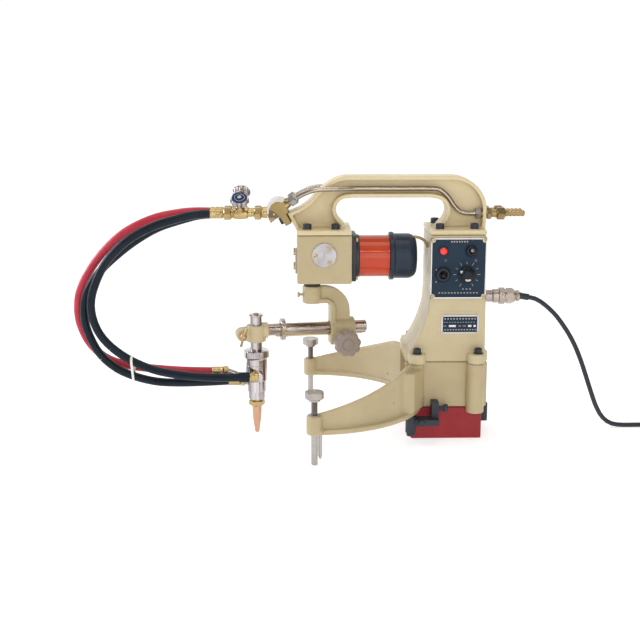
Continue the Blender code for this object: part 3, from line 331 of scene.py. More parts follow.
RUBBER = hose_rubber("black_rubber", (0.003, 0.009, 0.016), (0.010, 0.020, 0.030), 0.38, 0.22)
CABLE_RUBBER = plastic("cable_rubber", (0.010, 0.016, 0.024), (0.024, 0.032, 0.042), 0.5)
RED_RUBBER = hose_rubber("red_rubber", (0.47, 0.022, 0.045), (0.58, 0.07, 0.09), 0.42, 0.4)
CHROME = painted_reflection_bands("chrome", (0.60, 0.55, 0.51), 0.09, (0.27, 0.22, 0.185), (26, 26, 26))
# The torch's streaks run up its length and the bar's along its length: painted reflection bands.
TORCH_CHROME = painted_reflection_bands("torch_chrome", (0.66, 0.62, 0.62), 0.15, (0.30, 0.265, 0.255), (110, 110, 2.5))
BAR_CHROME = painted_reflection_bands("bar_chrome", (0.46, 0.40, 0.35), 0.17, (0.24, 0.19, 0.155), (4, 110, 110))
WHEEL_CHROME = metal("wheel_chrome", (0.50, 0.455, 0.44), 0.16, (0.20, 0.16, 0.14))
SATIN_CHROME = metal("satin_chrome", (0.50, 0.46, 0.45), 0.26, (0.36, 0.31, 0.29))
STEEL = metal("steel", (0.42, 0.40, 0.38), 0.32, (0.28, 0.24, 0.20))
metal("aluminium", (0.58, 0.57, 0.58), 0.34, (0.50, 0.48, 0.47))
BRASS = metal("brass", (0.53, 0.395, 0.185), 0.25, (0.34, 0.235, 0.10))
PALE_BRASS = metal("pale_brass", (0.55, 0.46, 0.26), 0.32, (0.36, 0.28, 0.15))
COPPER = metal("copper", (0.68, 0.42, 0.28), 0.42, (0.57, 0.33, 0.21))
LEAD = plastic("lead_sheath", (0.36, 0.26, 0.12), (0.44, 0.33, 0.17), 0.6)
WHITE_MARK = plastic("white_mark", (0.40, 0.37, 0.33), (0.28, 0.26, 0.24), 0.6)
WHITE_NYLON = plastic("white_nylon", (0.78, 0.78, 0.74), (0.7, 0.7, 0.66), 0.4)
BLUE_DISC = plastic("blue_disc", (0.002, 0.034, 0.14), (0.004, 0.045, 0.18), 0.4, 600, 0.1, 0.1)
TURNED_ALUMINIUM = turned_face()
BRIGHT_STEEL = metal("bright_steel", (0.45, 0.42, 0.39), 0.26, (0.29, 0.26, 0.23))
DARK_STEEL = metal("dark_steel", (0.30, 0.255, 0.225), 0.3, (0.17, 0.14, 0.12))
PIPE_STEEL = metal("pipe_steel", (0.44, 0.385, 0.33), 0.2, (0.32, 0.26, 0.20))
CAST_BRASS = metal("cast_brass", (0.36, 0.268, 0.118), 0.42, (0.205, 0.146, 0.065), depth=0.0005)
DARK_BRASS = metal("dark_brass", (0.36, 0.255, 0.125), 0.28, (0.22, 0.15, 0.075))
NICKEL = metal("nickel", (0.46, 0.40, 0.36), 0.26, (0.34, 0.265, 0.215))
PAINTED_SHADOW_BROWN = plastic("brown_cast", (0.17, 0.125, 0.085), (0.25, 0.19, 0.13), 0.6, 300, 0.2, 0.1)
BRIGHT_TRIM = plastic("bright_trim", (0.80, 0.79, 0.78), (0.70, 0.69, 0.68), 0.3)
PAINTED_HIGHLIGHT_CAST = plastic("pale_casting", (0.68, 0.63, 0.58), (0.60, 0.55, 0.49), 0.4)
RED_DISC = plastic("red_disc", (0.30, 0.02, 0.02), (0.38, 0.04, 0.04), 0.25)


def red_lens():
    g = Graph("red_lens", (0.80, 0.03, 0.02), 0.08, Coat_Weight=0.4, Emission_Color=(1.0, 0.05, 0.03, 1),
        Emission_Strength=0.22)
    g.bump(g.noise(500, 2), 0.05, 0.0003)
    return g.mat


LENS = red_lens()

# A finish stands for the record's slot of its own name, but for these; None is for no slot at all.
STAND_INS = {"cream_enamel": "cream_enamel_pale cream_enamel_deep cream_enamel_chipped", "black_steel": "panel_black",
    "black_plastic": "cap_plastic blue_disc red_disc", "black_rubber": "cable_rubber",
    "aluminium": "turned_aluminium bright_trim", "chrome": "torch_chrome bar_chrome wheel_chrome satin_chrome nickel",
    "steel": "bright_steel dark_steel pipe_steel", "brass": "pale_brass cast_brass dark_brass brown_cast",
    None: "white_mark white_nylon pale_casting"}
SLOTS = {mat: name for name, mat in FINISHES.items()}
SLOTS.update({FINISHES[name]: slot for slot, names in STAND_INS.items() for name in names.split()})


# ---------------- making pieces
def facing(direction):
    return Vector(UP).rotation_difference(Vector(direction)).to_matrix().to_4x4()


def piece(name, bm, mat, place=WORLD, body="base", node=None, slot="by finish", sharp=EDGE_ANGLE):
    """A finished piece from a mesh in millimetres, put in place, riding on its body and standing for its node."""
    put(bm, place @ Matrix.Scale(MM, 4))
    bmesh.ops.recalc_face_normals(bm, faces=bm.faces)
    mesh = bpy.data.meshes.new(name)
    bm.to_mesh(mesh)
    bm.free()
    mesh.materials.append(mat)
    mesh.shade_smooth()
    mesh.set_sharp_from_angle(angle=math.radians(sharp))
    obj = bpy.data.objects.new(name, mesh)
    bpy.context.collection.objects.link(obj)
    even_shading(obj)
    slot = SLOTS[mat] if slot == "by finish" else slot
    if body:
        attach(obj, body)
    if node:
        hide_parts(node)
    return obj


def even_shading(obj):
    """Let large faces set the shading, so that only the narrow chamfers beside them look rounded."""
    weighted = obj.modifiers.new("even_shading", "WEIGHTED_NORMAL")
    weighted.keep_sharp = True
    weighted.weight = 90


def at(x, y, z, axis=UP, spin=0.0, frame_matrix=WORLD):
    """Where a piece that was made round +Z goes."""
    spot = frame_matrix @ Matrix.Translation(Vector((x, y, z)) * MM)
    return spot @ facing(axis) @ Matrix.Rotation(math.radians(spin), 4, "Z")


def skin(bm, rings, lids=True):
    """Quads between rings of as many points, and a lid on the first and the last."""
    count = len(rings[0])
    for a, b in zip(rings, rings[1:]):
        for i in range(count):
            j = (i + 1) % count
            bm.faces.new((a[i], a[j], b[j], b[i]))
    if lids:
        bm.faces.new(rings[0][::-1])
        bm.faces.new(rings[-1])
    return bm


def lathe(profile, steps=48, wave=None):
    """A turned solid from (radius, height) points; wave(angle, radius, height) may ripple the radius.

    A profile that ends where it starts makes a ring; any other is closed flat to the axis at both ends."""
    bm = bmesh.new()
    rings = []
    closed = profile[0] == profile[-1]
    if not closed:
        profile = [(0, profile[0][1]), *profile, (0, profile[-1][1])]
        profile = profile[profile[1][0] == 0:len(profile) - (profile[-2][0] == 0)]
    for r, z in (profile[:-1] if closed else profile):
        if r < 1e-6:
            rings.append([bm.verts.new((0, 0, z))])
            continue
        ring = []
        for i in range(steps):
            angle = 2 * math.pi * i / steps
            reach = wave(angle, r, z) if wave else r
            ring.append(bm.verts.new((*polar(reach, angle), z)))
        rings.append(ring)
    for a, b in zip(rings, rings[1:] + (rings[:1] if closed else [])):
        for i in range(steps):
            j = (i + 1) % steps
            if len(a) == 1 and len(b) > 1:
                bm.faces.new((a[0], b[i], b[j]))
            elif len(b) == 1 and len(a) > 1:
                bm.faces.new((a[i], b[0], a[j]))
            elif len(a) > 1:
                bm.faces.new((a[i], b[i], b[j], a[j]))
    return bm


def slab(outline, low, high, chamfer=0.0):
    """A flat outline as a solid from low to high along +Z, its edges cut by a chamfer."""
    bm = bmesh.new()
    levels = [(low, chamfer), (low + chamfer, 0), (high - chamfer, 0), (high, chamfer)]
    if not chamfer:
        levels = [(low, 0), (high, 0)]
    rings = []
    for z, inwards in levels:
        ring = shrink(outline, inwards) if inwards else outline
        rings.append([bm.verts.new((x, y, z)) for x, y in ring])
    return skin(bm, rings)


def shrink(outline, distance):
    """An anticlockwise outline moved inwards."""
    moved = []
    for i, here in enumerate(outline):
        before = (Vector(here) - Vector(outline[i - 1])).normalized()
        after = (Vector(outline[(i + 1) % len(outline)]) - Vector(here)).normalized()
        normal = Vector((-before.y - after.y, before.x + after.x)).normalized()
        reach = distance / max(0.4, normal.dot(Vector((-before.y, before.x))))
        moved.append(tuple(Vector(here) + normal * reach))
    return moved


def polar(radius, angle):
    return radius * math.cos(angle), radius * math.sin(angle)


def ring_points(radius, count):
    return [polar(radius, 2 * math.pi * i / count) for i in range(count)]


def box_outline(width, height, radius=0.0, corner=4):
    if not radius:
        return [(-width / 2, -height / 2), (width / 2, -height / 2), (width / 2, height / 2),
            (-width / 2, height / 2)]
    points = []
    for cx, cy, first in ((1, 1, 0), (-1, 1, 90), (-1, -1, 180), (1, -1, 270)):
        centre = (cx * (width / 2 - radius), cy * (height / 2 - radius))
        for i in range(corner + 1):
            angle = math.radians(first + 90 * i / corner)
            points.append((centre[0] + radius * math.cos(angle), centre[1] + radius * math.sin(angle)))
    return points


def merge(*meshes):
    """Several meshes as one; each solid stays whole."""
    base = meshes[0]
    for other in meshes[1:]:
        mesh = bpy.data.meshes.new("part")
        other.to_mesh(mesh)
        other.free()
        base.from_mesh(mesh)
        bpy.data.meshes.remove(mesh)
    return base


def put(bm, matrix):
    """The same mesh, moved."""
    bmesh.ops.transform(bm, matrix=matrix, verts=bm.verts)
    return bm


def moved(bm, *, by=(0, 0, 0), axis=UP, spin=0.0):
    """What was made round +Z, turned to another axis and moved."""
    return put(bm, Matrix.Translation(by) @ facing(axis) @ Matrix.Rotation(math.radians(spin), 4, "Z"))


def bake(obj):
    """The object's modifiers made into plain mesh."""
    bpy.context.view_layer.update()
    mesh = bpy.data.meshes.new_from_object(obj.evaluated_get(bpy.context.evaluated_depsgraph_get()))
    obj.modifiers.clear()
    obj.data = mesh
    mesh.shade_smooth()


def cut_out(base, cutter):
    modifier = base.modifiers.new("cut", "BOOLEAN")
    modifier.object = cutter
    modifier.operation = "DIFFERENCE"
    bake(base)
    bpy.data.objects.remove(cutter)
    base.data.set_sharp_from_angle(angle=math.radians(EDGE_ANGLE))
    even_shading(base)


def node_mesh(node):
    bm = bmesh.new()
    bm.from_mesh(frame["nodes"][node].data)
    bm.transform(frame["nodes"][node].matrix_world)
    bmesh.ops.remove_doubles(bm, verts=bm.verts, dist=0.00001)
    return put(bm, Matrix.Scale(1 / MM, 4))


def recast(node, body, mat, voxel, soften):
    """A casting's CAD solid with its edges and inner corners softened, as a mould leaves them."""
    obj = piece(node + "_cast", node_mesh(node), mat, body=None)
    remesh = obj.modifiers.new("remesh", "REMESH")
    remesh.mode = "VOXEL"
    remesh.voxel_size = voxel * MM
    smooth = obj.modifiers.new("smooth", "SMOOTH")
    smooth.factor = 0.5
    smooth.iterations = soften
    bake(obj)
    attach(obj, body)
    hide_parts(node)


def knurl(teeth, depth, low, high, smallest=0.0):
    """A straight knurl between two heights."""
    def wave(angle, r, z):
        if low - 0.01 <= z <= high + 0.01 and r > smallest:
            return r - depth * (0.5 + 0.5 * math.cos(teeth * angle))
        return r
    return wave


# ---------------- hoses and mains cable
RED_HOSE = [(-308.8, 10.5, 296.0), (-330, 10.8, 296.2), (-352, 11.2, 294), (-384, 12, 287), (-420, 13, 270),
    (-448, 14, 246), (-470, 15, 218), (-484, 15, 191), (-488, 14.5, 166), (-485, 14, 143), (-473, 13, 118),
    (-452, 11.5, 99), (-422, 9, 89), (-390, 8, 85), (-350, 7.2, 82), (-315, 7, 81), (-290.7, 7, 81)]
UPPER_BLACK_HOSE = [(-309.0, -10.5, 296.0), (-328, -10.7, 294.5), (-348, -11, 290), (-381, -11, 280),
    (-416, -11, 261), (-444, -10.5, 233), (-460, -10, 203), (-466.5, -10, 176), (-462, -10, 149), (-448, -11, 126),
    (-422, -12.5, 105), (-387, -17, 90), (-351, -23, 84), (-320, -29, 82.5), (-285, -33, 82.8), (-258.9, -33, 83)]
LOWER_BLACK_HOSE = [(-309.2, 30, 290), (-326, 29.5, 288.5), (-345, 27, 284), (-378, 20, 274), (-406, 13, 259),
    (-433, 8, 239), (-456, 4, 217), (-472, 2, 192), (-478, 2, 165), (-474, 0.5, 139), (-460, -2, 110), (-439, -4, 90),
    (-414, -5, 78), (-384, -9, 71.5), (-353, -12, 70.5), (-318, -13, 71.5), (-287.6, -13, 73)]
POWER_CABLE = [(113, 0, 181.7), (122, 0, 179.2), (133, 0, 172.2), (148, 0, 158.5), (160.5, 0, 142.5), (170, 0, 128),
    (178.5, 0, 112), (187, 0, 92), (195, 0, 70), (202.5, 0, 49), (210, 0, 30), (219, 0, 15), (231, 0, 6),
    (246, 0, 3.4), (265, 0, 3.3), (290, 0, 3.3), (320, 0, 3.3)]


def smooth_route(points, spacing):
    """A smooth curve through the points, as steps of about one spacing."""
    path = [Vector(p) for p in points]
    path = [2 * path[0] - path[1], *path, 2 * path[-1] - path[-2]]
    fine = []
    for a, b, c, d in zip(path, path[1:], path[2:], path[3:]):
        for i in range(12):
            t = i / 12
            square, cube = 2 * a - 5 * b + 4 * c - d, 3 * b - a - 3 * c + d
            fine.append(0.5 * ((2 * b) + (c - a) * t + square * t * t + cube * t ** 3))
    fine.append(path[-2])
    total = sum((q - p).length for p, q in zip(fine, fine[1:]))
    count = max(2, round(total / spacing))
    route, walked, wanted = [fine[0]], 0.0, 1
    for p, q in zip(fine, fine[1:]):
        step = (q - p).length
        while wanted < count and walked + step >= total * wanted / count:
            route.append(p.lerp(q, (total * wanted / count - walked) / step))
            wanted += 1
        walked += step
    return route + [fine[-1]]


def tube(route, radius, sides=20):
    """A round tube with its u coordinate round it and v along it, in metres."""
    bm = bmesh.new()
    uv = bm.loops.layers.uv.new("hose")
    tangents = []
    for i in range(len(route)):
        tangents.append((route[min(i + 1, len(route) - 1)] - route[max(i - 1, 0)]).normalized())
    side = tangents[0].orthogonal().normalized()
    rings, walked, along = [], 0.0, []
    for i, (centre, tangent) in enumerate(zip(route, tangents)):
        side = (side - tangent * side.dot(tangent)).normalized()
        up = tangent.cross(side)
        ring = []
        for k in range(sides):
            angle = 2 * math.pi * k / sides
            ring.append(bm.verts.new(centre + (side * math.cos(angle) + up * math.sin(angle)) * radius))
        rings.append(ring)
        walked += (centre - route[i - 1]).length if i else 0.0
        along.append(walked * MM)
    skin(bm, rings)
    bm.faces.ensure_lookup_table()
    for n in range(sides * (len(rings) - 1)):
        i, k = divmod(n, sides)
        for loop, (u, v) in zip(bm.faces[n].loops, ((k, i), (k + 1, i), (k + 1, i + 1), (k, i + 1))):
            loop[uv].uv = (u / sides, along[v])
    return bm


def make_hose(name, points, mat, node, splits):
    """A gas hose in three lengths, one across each joint between the manifold and the torch."""
    route = smooth_route(points, 8)
    count = len(route) - 1
    cuts = [0, round(count * splits[0]), round(count * splits[1]), count]
    spans = (("base", "arm"), ("arm", "bar"), ("bar", "torch"))
    for number, ((a, b), first, last) in enumerate(zip(spans, cuts, cuts[1:])):
        part = route[first:last + 1]
        obj = piece(f"{name}_{number + 1}", tube(part, HOSE_D / MM / 2), mat, body=None, sharp=SOFT_EDGE)
        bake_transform(obj)
        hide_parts(node)
    return route


def coil_route(centre, inner, outer, layers, pitch, floor):
    """The stored cable: flat spirals laid on each other, out and back in."""
    points = []
    radius, angle, height = outer, -math.pi / 2, floor
    turn_steps = 30
    for layer in range(layers):
        inwards = layer % 2 == 0
        while (radius > inner) if inwards else (radius < outer):
            points.append(Vector((centre[0] + radius * math.cos(angle), centre[1] + radius * math.sin(angle),
                height)))
            angle += 2 * math.pi / turn_steps
            radius += (-pitch if inwards else pitch) / turn_steps
        if layer < layers - 1:
            radius = inner if inwards else outer
            rise = 11
            for step in range(rise):
                points.append(Vector((centre[0] + radius * math.cos(angle), centre[1] + radius * math.sin(angle),
                    height + pitch * (0.5 - 0.5 * math.cos(math.pi * (step + 1) / rise)))))
                angle += 2 * math.pi / turn_steps
            height += pitch
    return points


def make_power_cable():
    visible = smooth_route(POWER_CABLE, 8)
    coil = coil_route(centre=(350, 52), inner=26.2, outer=44.9, layers=4, pitch=6.35, floor=3.3)
    join = smooth_route([tuple(visible[-1]), (336, 3.0, 3.3), tuple(coil[1])], 6)
    route = visible[:-1] + join[:-1] + coil[1:]
    cable = piece("mains_cable", tube(route, CABLE_D / MM / 2, sides=12), CABLE_RUBBER, sharp=SOFT_EDGE)
    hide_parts("power_cable", "power_cable_coil")
    plug = piece("mains_plug_shell", node_mesh("mains_plug"), BLACK_PLASTIC, node="mains_plug")


make_camera()
make_floor()
make_room()
make_lights()
ROUTES = {"red": make_hose("red_gas_hose", RED_HOSE, RED_RUBBER, "red_hose", (0.62, 0.82)),
    "upper": make_hose("upper_gas_hose", UPPER_BLACK_HOSE, RUBBER, "upper_black_hose", (0.6, 0.8)),
    "lower": make_hose("lower_gas_hose", LOWER_BLACK_HOSE, RUBBER, "lower_black_hose", (0.62, 0.82))}
make_power_cable()


# ---------------- castings
recast("column", "base", CREAM, 1.1, 5)
recast("leg_yoke", "base", CHIPPED_CREAM_WITH_PAINTED_SHADE, 1.1, 5)
recast("handle", "base", CREAM_WITH_PAINTED_LIGHT, 0.9, 6)
recast("gearbox_housing", "base", CREAM_WITH_PAINTED_SHADE, 1.1, 3)
recast("swing_bracket", "arm", CREAM_WITH_PAINTED_SHADE, 0.7, 6)
recast("torch_clamp", "bar", CREAM, 0.55, 6)

# every other CAD node gets its slot's finish
CAD_FINISHES = {**FINISHES, "black_rubber": CABLE_RUBBER}
for sub in frame["record"]["subparts"]:
    node = frame["nodes"][sub["node"]]
    for material_slot in node.material_slots:
        material_slot.material = CAD_FINISHES[sub["material_slot"]]
frame["nodes"]["control_panel"].material_slots[0].material = PANEL_BLACK

# ---------------- small hardware
def hexed(across):
    """A ripple that cuts a turned profile to a hexagon."""
    def wave(angle, r, z):
        return min(r, hexagon(across, angle))
    return wave


def nut(across, low, high, chamfer=0.14):
    corner = across / math.sqrt(3)
    cut = across * chamfer
    profile = [(corner - cut, low), (corner, low + cut * 0.55), (corner, high - cut * 0.55), (corner - cut, high)]
    return lathe(profile, 48, hexed(across))


def hexagon(across, angle):
    return across / 2 / math.cos(angle % (math.pi / 3) - math.pi / 6)


def socket_head(radius=5.0, height=6.0, across=5.0, steps=36):
    """A cap screw's head, knurled, with a hexagon socket."""
    bm = bmesh.new()
    rings = []
    for reach, z in ((radius, 0), (radius, 0.3), (radius, height - 0.8), (radius - 0.6, height), (0, height),
            (0, height - 2.8)):
        ring = []
        for i in range(steps):
            angle = 2 * math.pi * i / steps
            ridge = 0.12 * (i % 2) if 0 < z < height else 0
            out = reach - ridge if reach else hexagon(across, angle)
            ring.append(bm.verts.new((*polar(out, angle), z)))
        rings.append(ring)
    return skin(bm, rings)


def slotted_head(radius, height, slot=0.7, dome=0.3):
    """A screw head with a straight slot."""
    parts = [slab(ring_points(radius, 28), 0, height * 0.45)]
    first = math.asin(slot / 2 / radius)
    for turn in (0, math.pi):
        half = [polar(radius, first + (math.pi - 2 * first) * i / 14 + turn) for i in range(15)]
        parts.append(slab(half, height * 0.44, height, dome))
    return merge(*parts)


def washer(outer, inner, low, high):
    return lathe([(inner, low), (outer, low), (outer, high), (inner, high), (inner, low)], 32)


def screw(name, place, radius, height, mat, body="base", slot_width=0.7):
    return piece(name, slotted_head(radius, height, slot_width), mat, place, body)


def cap_screws():
    spots = [(x, side * 50.5, COLUMN_FLANGE_Z) for x in (-41.0, 38.5) for side in (-1, 1)]
    for n, (x, y, z) in enumerate(spots):
        piece(f"column_bolt_{n + 1}", socket_head(5.0, 6.2), BLACK_STEEL, at(x, y, z + 0.6, UP, 20 * n))
        piece(f"column_washer_{n + 1}", washer(6.4, 2, z - 0.05, z + 0.6), BLACK_STEEL, at(x, y, 0))
    spots = [(x, side * 28.0, HANDLE_FLANGE_Z) for x in (-182.7, -146.3, -12.2, 32.7) for side in (-1, 1)]
    for n, (x, y, z) in enumerate(spots):
        piece(f"handle_bolt_{n + 1}", socket_head(5.5, 6.6), BLACK_STEEL, at(x, y, z + 0.5, UP, 17 * n))
        piece(f"handle_washer_{n + 1}", washer(6.2, 2, z - 0.05, z + 0.55), STEEL, at(x, y, 0))


# ---------------- gearbox and motor
def make_gearbox_details():
    cover = [(15.5, 41.2), (15.5, 43.2), (15.1, 43.6), (0.9, 43.6), (0.5, 43.3)]
    piece("side_cover_disc", lathe(cover, 96), TURNED_ALUMINIUM, at(CROSS_X + 1.5, 0, CROSS_Z, FRONT),
        node="gearbox_side_cover")
    for n, angle in enumerate((180, 55, -55)):
        x = CROSS_X + 1.5 + 11.3 * math.cos(math.radians(angle))
        z = CROSS_Z + 11.3 * math.sin(math.radians(angle))
        screw(f"side_cover_screw_{n + 1}", at(x, -43.55, z, FRONT, 35 + 50 * n), 2.7, 1.7, BRASS)
    plate = slab(box_outline(30, 31, 2), 0, 2.2, 0.4)
    piece("gearbox_end_plate", plate, STEEL, at(-196.0, 0, 232.5, LEFT))
    for n, (y, z) in enumerate(((-11, 244.5), (-11, 225.5), (11, 244.5), (11, 225.5))):
        screw(f"end_plate_screw_{n + 1}", at(-198.2, y, z, LEFT, 40 * n), 3.0, 2.4, BRASS)
    for n, (y, z) in enumerate(((-24.5, 24.5), (-24.5, -24.5), (24.5, 24.5), (24.5, -24.5))):
        screw(f"motor_flange_screw_{n + 1}", at(-119.5, y, MOTOR_Z + z, RIGHT, 30 * n), 2.9, 2.3, BRASS)


def make_motor_details():
    middle = at(0, 0, MOTOR_Z, RIGHT)
    can = [(24.5, -115), (27.2, -115), (27.5, -114.7), (27.5, -113.2), (27.2, -112.9), (27.2, -78.5), (27.5, -78.2),
        (27.5, -75.7), (27.3, -75.5), (24.5, -75.5), (24.5, -115)]
    piece("motor_can_shell", lathe(can, 96), ORANGE, middle, node="motor_can")
    cap = [(25.8, -75.2), (30.7, -75.2), (31.3, -74.8), (31.5, -74.2), (31.5, -70.6), (31.2, -70.0), (30.2, -69.3),
        (29.6, -68.7), (29.5, -68.0), (29.5, -51.5)]
    for i in range(1, 13):
        angle = math.radians(90 * i / 12)
        cap.append((19.5 + 10.0 * math.cos(angle), -51.5 + 11.8 * math.sin(angle)))
    cap += [(12.5, -39.6), (12.1, -40.3), (7.5, -40.3), (7.1, -39.6)]
    piece("motor_end_cap_shell", lathe(cap, 96), CAP_PLASTIC, middle, node="motor_end_cap")
    lead = [(-43.5, -9, 264.8), (-39, -9, 264.2), (-34, -9.5, 262.6), (-29.5, -10, 259.4), (-26.8, -10.3, 255.2),
        (-25.6, -10.5, 250.8)]
    piece("motor_cable", tube(smooth_route(lead, 1.5), 1.9, 16), LEAD, node="motor_lead")
    collar = slab(box_outline(60.4, 60.4, 8), -125.0, -119.5, 0.7)
    piece("motor_flange_plate", merge(collar, lathe([(27.4, -120), (28.4, -119.4), (28.4, -116.2), (27.6, -115.3)],
        64)), BLACK_STEEL, middle, slot="black_plastic", node="motor_flange")


# ---------------- arm, bar, knob and torch
def make_arm_details():
    head = merge(lathe([(1.5, 12.5), (1.5, 16.4), (2.2, 17.2), (3.4, 17.6), (3.6, 18.0)], 24),
        moved(slotted_head(3.6, 1.6, 0.8), by=(0, 0, 17.9)))
    piece("arm_grub_screw", head, BRASS, at(0, 0, 187.5, LEFT, 0, ARM), "arm")
    bar_place = at(0, 0, BAR_Z, RIGHT, 0, ARM)
    bar = piece("bar_rod", lathe([(7.3, -66), (8, -65.2), (8, 72.2), (7.2, 73)], 72), BAR_CHROME, bar_place, None)
    slot = slab([(-50.3, -2.8), (78, -2.8), (78, 2.8), (-50.3, 2.8)], -11.5, -5.8)
    cutter = piece("rack_groove", slot, CHROME, at(0, 0, BAR_Z, UP, 0, ARM), None, slot=None)
    cut_out(bar, cutter)
    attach(bar, "bar")
    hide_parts("slide_bar")
    grub = lathe([(2.5, 0), (2.5, 0.35), (1.9, 0.6)], 24)
    piece("bar_end_screw", grub, DARK_BRASS, at(-58.5, -7.45, BAR_Z + 0.5, FRONT, 0, ARM), "bar")
    collar = [(8.4, -3.0), (14.0, -3.0), (14.5, -2.5), (14.5, 2.5), (14.0, 3.0), (8.4, 3.0), (8.4, -3.0)]
    place = at(-40, 0, BAR_Z, RIGHT, 0, ARM)
    piece("stop_ring", lathe(collar, 64, knurl(60, 0.25, -2.2, 2.2, 14.2)), NICKEL, place, "collar",
        node="stop_collar")
    screw("stop_ring_screw", at(-40, -14.3, BAR_Z, FRONT, 50, ARM), 3.0, 2.2, BRASS, "collar")


def lobes(count, depth, radius):
    """A ripple that gives the outer part of a knob finger grips."""
    def wave(angle, r, z):
        if r < radius * 0.62:
            return r
        share = min(1.0, (r - radius * 0.62) / (radius * 0.38))
        return r - depth * share * (0.5 - 0.5 * math.cos(count * angle)) ** 1.5
    return wave


def make_hand_knob():
    grip = [(3.4, 24.4), (9.0, 24.4), (9.6, 24.9), (9.8, 27.0), (14.5, 27.3), (16.6, 28.2), (17.5, 30.0),
        (17.5, 39.5), (17.1, 41.6), (16.0, 43.2), (14.2, 44.1), (12.0, 44.4), (8.4, 44.3), (7.9, 43.8), (7.2, 43.7),
        (6.7, 44.2), (3.0, 44.9), (0, 45.0)]
    piece("hand_knob", lathe(grip, 120, lobes(9, 1.7, 17.5)), KNOB_GREY, at(PINION[0], 0, PINION[1], FRONT, 9, ARM),
        "knob", node="radius_knob")


def make_torch_details():
    stem = [(9.1, 163.4), (9.6, 163.0), (9.6, 161.6), (9.2, 161.2), (8.0, 161.1), (8.0, 150.8), (7.8, 150.5),
        (7.8, 149.9), (8.0, 149.6), (8.0, 115.3)]
    body = [(15.2, 115.5), (16.4, 115.0), (16.8, 114.2), (16.8, 106.6), (16.2, 105.8), (14.6, 105.0), (14.2, 104.2),
        (14.0, 103.4), (14.0, 96.2), (13.8, 95.9), (13.8, 95.3), (14.0, 95.0), (14.0, 75.2), (13.5, 74.4),
        (12.7, 73.8), (12.5, 73.2), (12.5, 60.2), (12.1, 59.5), (11.3, 59.2), (11.2, 58.6), (11.2, 50.0),
        (10.6, 49.0), (9.8, 48.2)]
    place = at(0, 0, 0, UP, 0, TORCH)
    piece("torch_barrel", merge(lathe(stem, 64), lathe(body, 96, knurl(48, 0.55, 107.0, 114.0, 16.6))), TORCH_CHROME,
        place, "torch", node="torch_body")
    screw("torch_cap_screw", at(0, 0, 163.3, UP, 25, TORCH), 3.3, 1.8, BRASS, "torch")
    # gas ends: a near one, a middle one and a far one, all pointing towards the hoses
    def boss(name, z, side):
        turned = lathe([(5.2, 10), (5.2, 15), (4.9, 15.5), (4.9, 21), (4.2, 22), (1.7, 22), (1.5, 20.5)], 32)
        piece(name, turned, CHROME, at(4.2, 0, z, (0, side, 0), 0, TORCH), "torch")

    near_end = merge(lathe([(5.4, -3.4), (6.2, -2.6), (6.2, 7.4), (5.6, 8.5)], 36), nut(12.6, 0.6, 7.0))
    piece("near_gas_end", near_end, BRASS, at(0, -20, 83, LEFT, 0, TORCH), "torch")
    boss("near_gas_boss", 84.5, -1)
    bend = [(2, 20, 73), (-10, 20, 73), (-22, 20, 74), (-31, 20, 77.6), (-40, 20, 81)]
    piece("far_gas_end", tube(smooth_route(bend, 2), 4.4, 24), SATIN_CHROME, place, "torch")
    boss("far_gas_boss", 74.5, 1)
    middle_end = merge(lathe([(4.4, 0), (4.4, 36.3), (4.0, 36.7)], 32), nut(9.6, 9, 13.6),
        lathe([(5.3, 13.4), (5.3, 14.6)], 32))
    piece("middle_gas_end", middle_end, SATIN_CHROME, at(0, 0, 73, LEFT, 0, TORCH), "torch")
    cuff = [(5.4, 8.8), (6.4, 8.8), (6.8, 9.3), (6.8, 21.6), (6.3, 22.6), (5.4, 22.6), (5.4, 8.8)]
    piece("near_hose_cuff", lathe(cuff, 40), RUBBER, at(0, -20, 83, LEFT, 0, TORCH), "torch")
    for name, y, z, end in (("far", 20, 81, 60), ("middle", 0, 73, 36.7)):
        sleeve = [(5.6, end - 14.6), (6.2, end - 14.6), (6.6, end - 14.1), (6.6, end - 12.9), (6.1, end - 12.2)]
        sleeve += [(6.1, end - 11 + i) for i in range(9)]
        sleeve += [(6.1, end - 1.6), (6.5, end - 1.1), (6.5, end - 0.4), (6.1, end), (5.6, end), (5.6, end - 14.6)]
        parts = merge(lathe(sleeve, 48), nut(12.4, end - 21.8, end - 15.0))
        piece(name + "_hose_ferrule", parts, BRASS, at(0, y, z, LEFT, 0, TORCH), "torch")
    collet = merge(nut(19, 39.3, 47.4), lathe([(8.4, 47.2), (8.4, 48.6)], 48))
    piece("nozzle_collet", moved(collet, spin=12), BRASS, place, "torch", node="nozzle_nut")
    tip = [(6.0, 39.6), (6.1, 39.2), (6.1, 31.5), (6.0, 30.4), (5.75, 24.0), (5.55, 22.2), (3.1, 5.0), (2.8, 2.8),
        (2.4, 2.1), (1.8, 1.8), (1.1, 1.8), (1.1, 6)]
    piece("nozzle_tip", lathe(tip, 48), COPPER, place, "torch", node="nozzle")


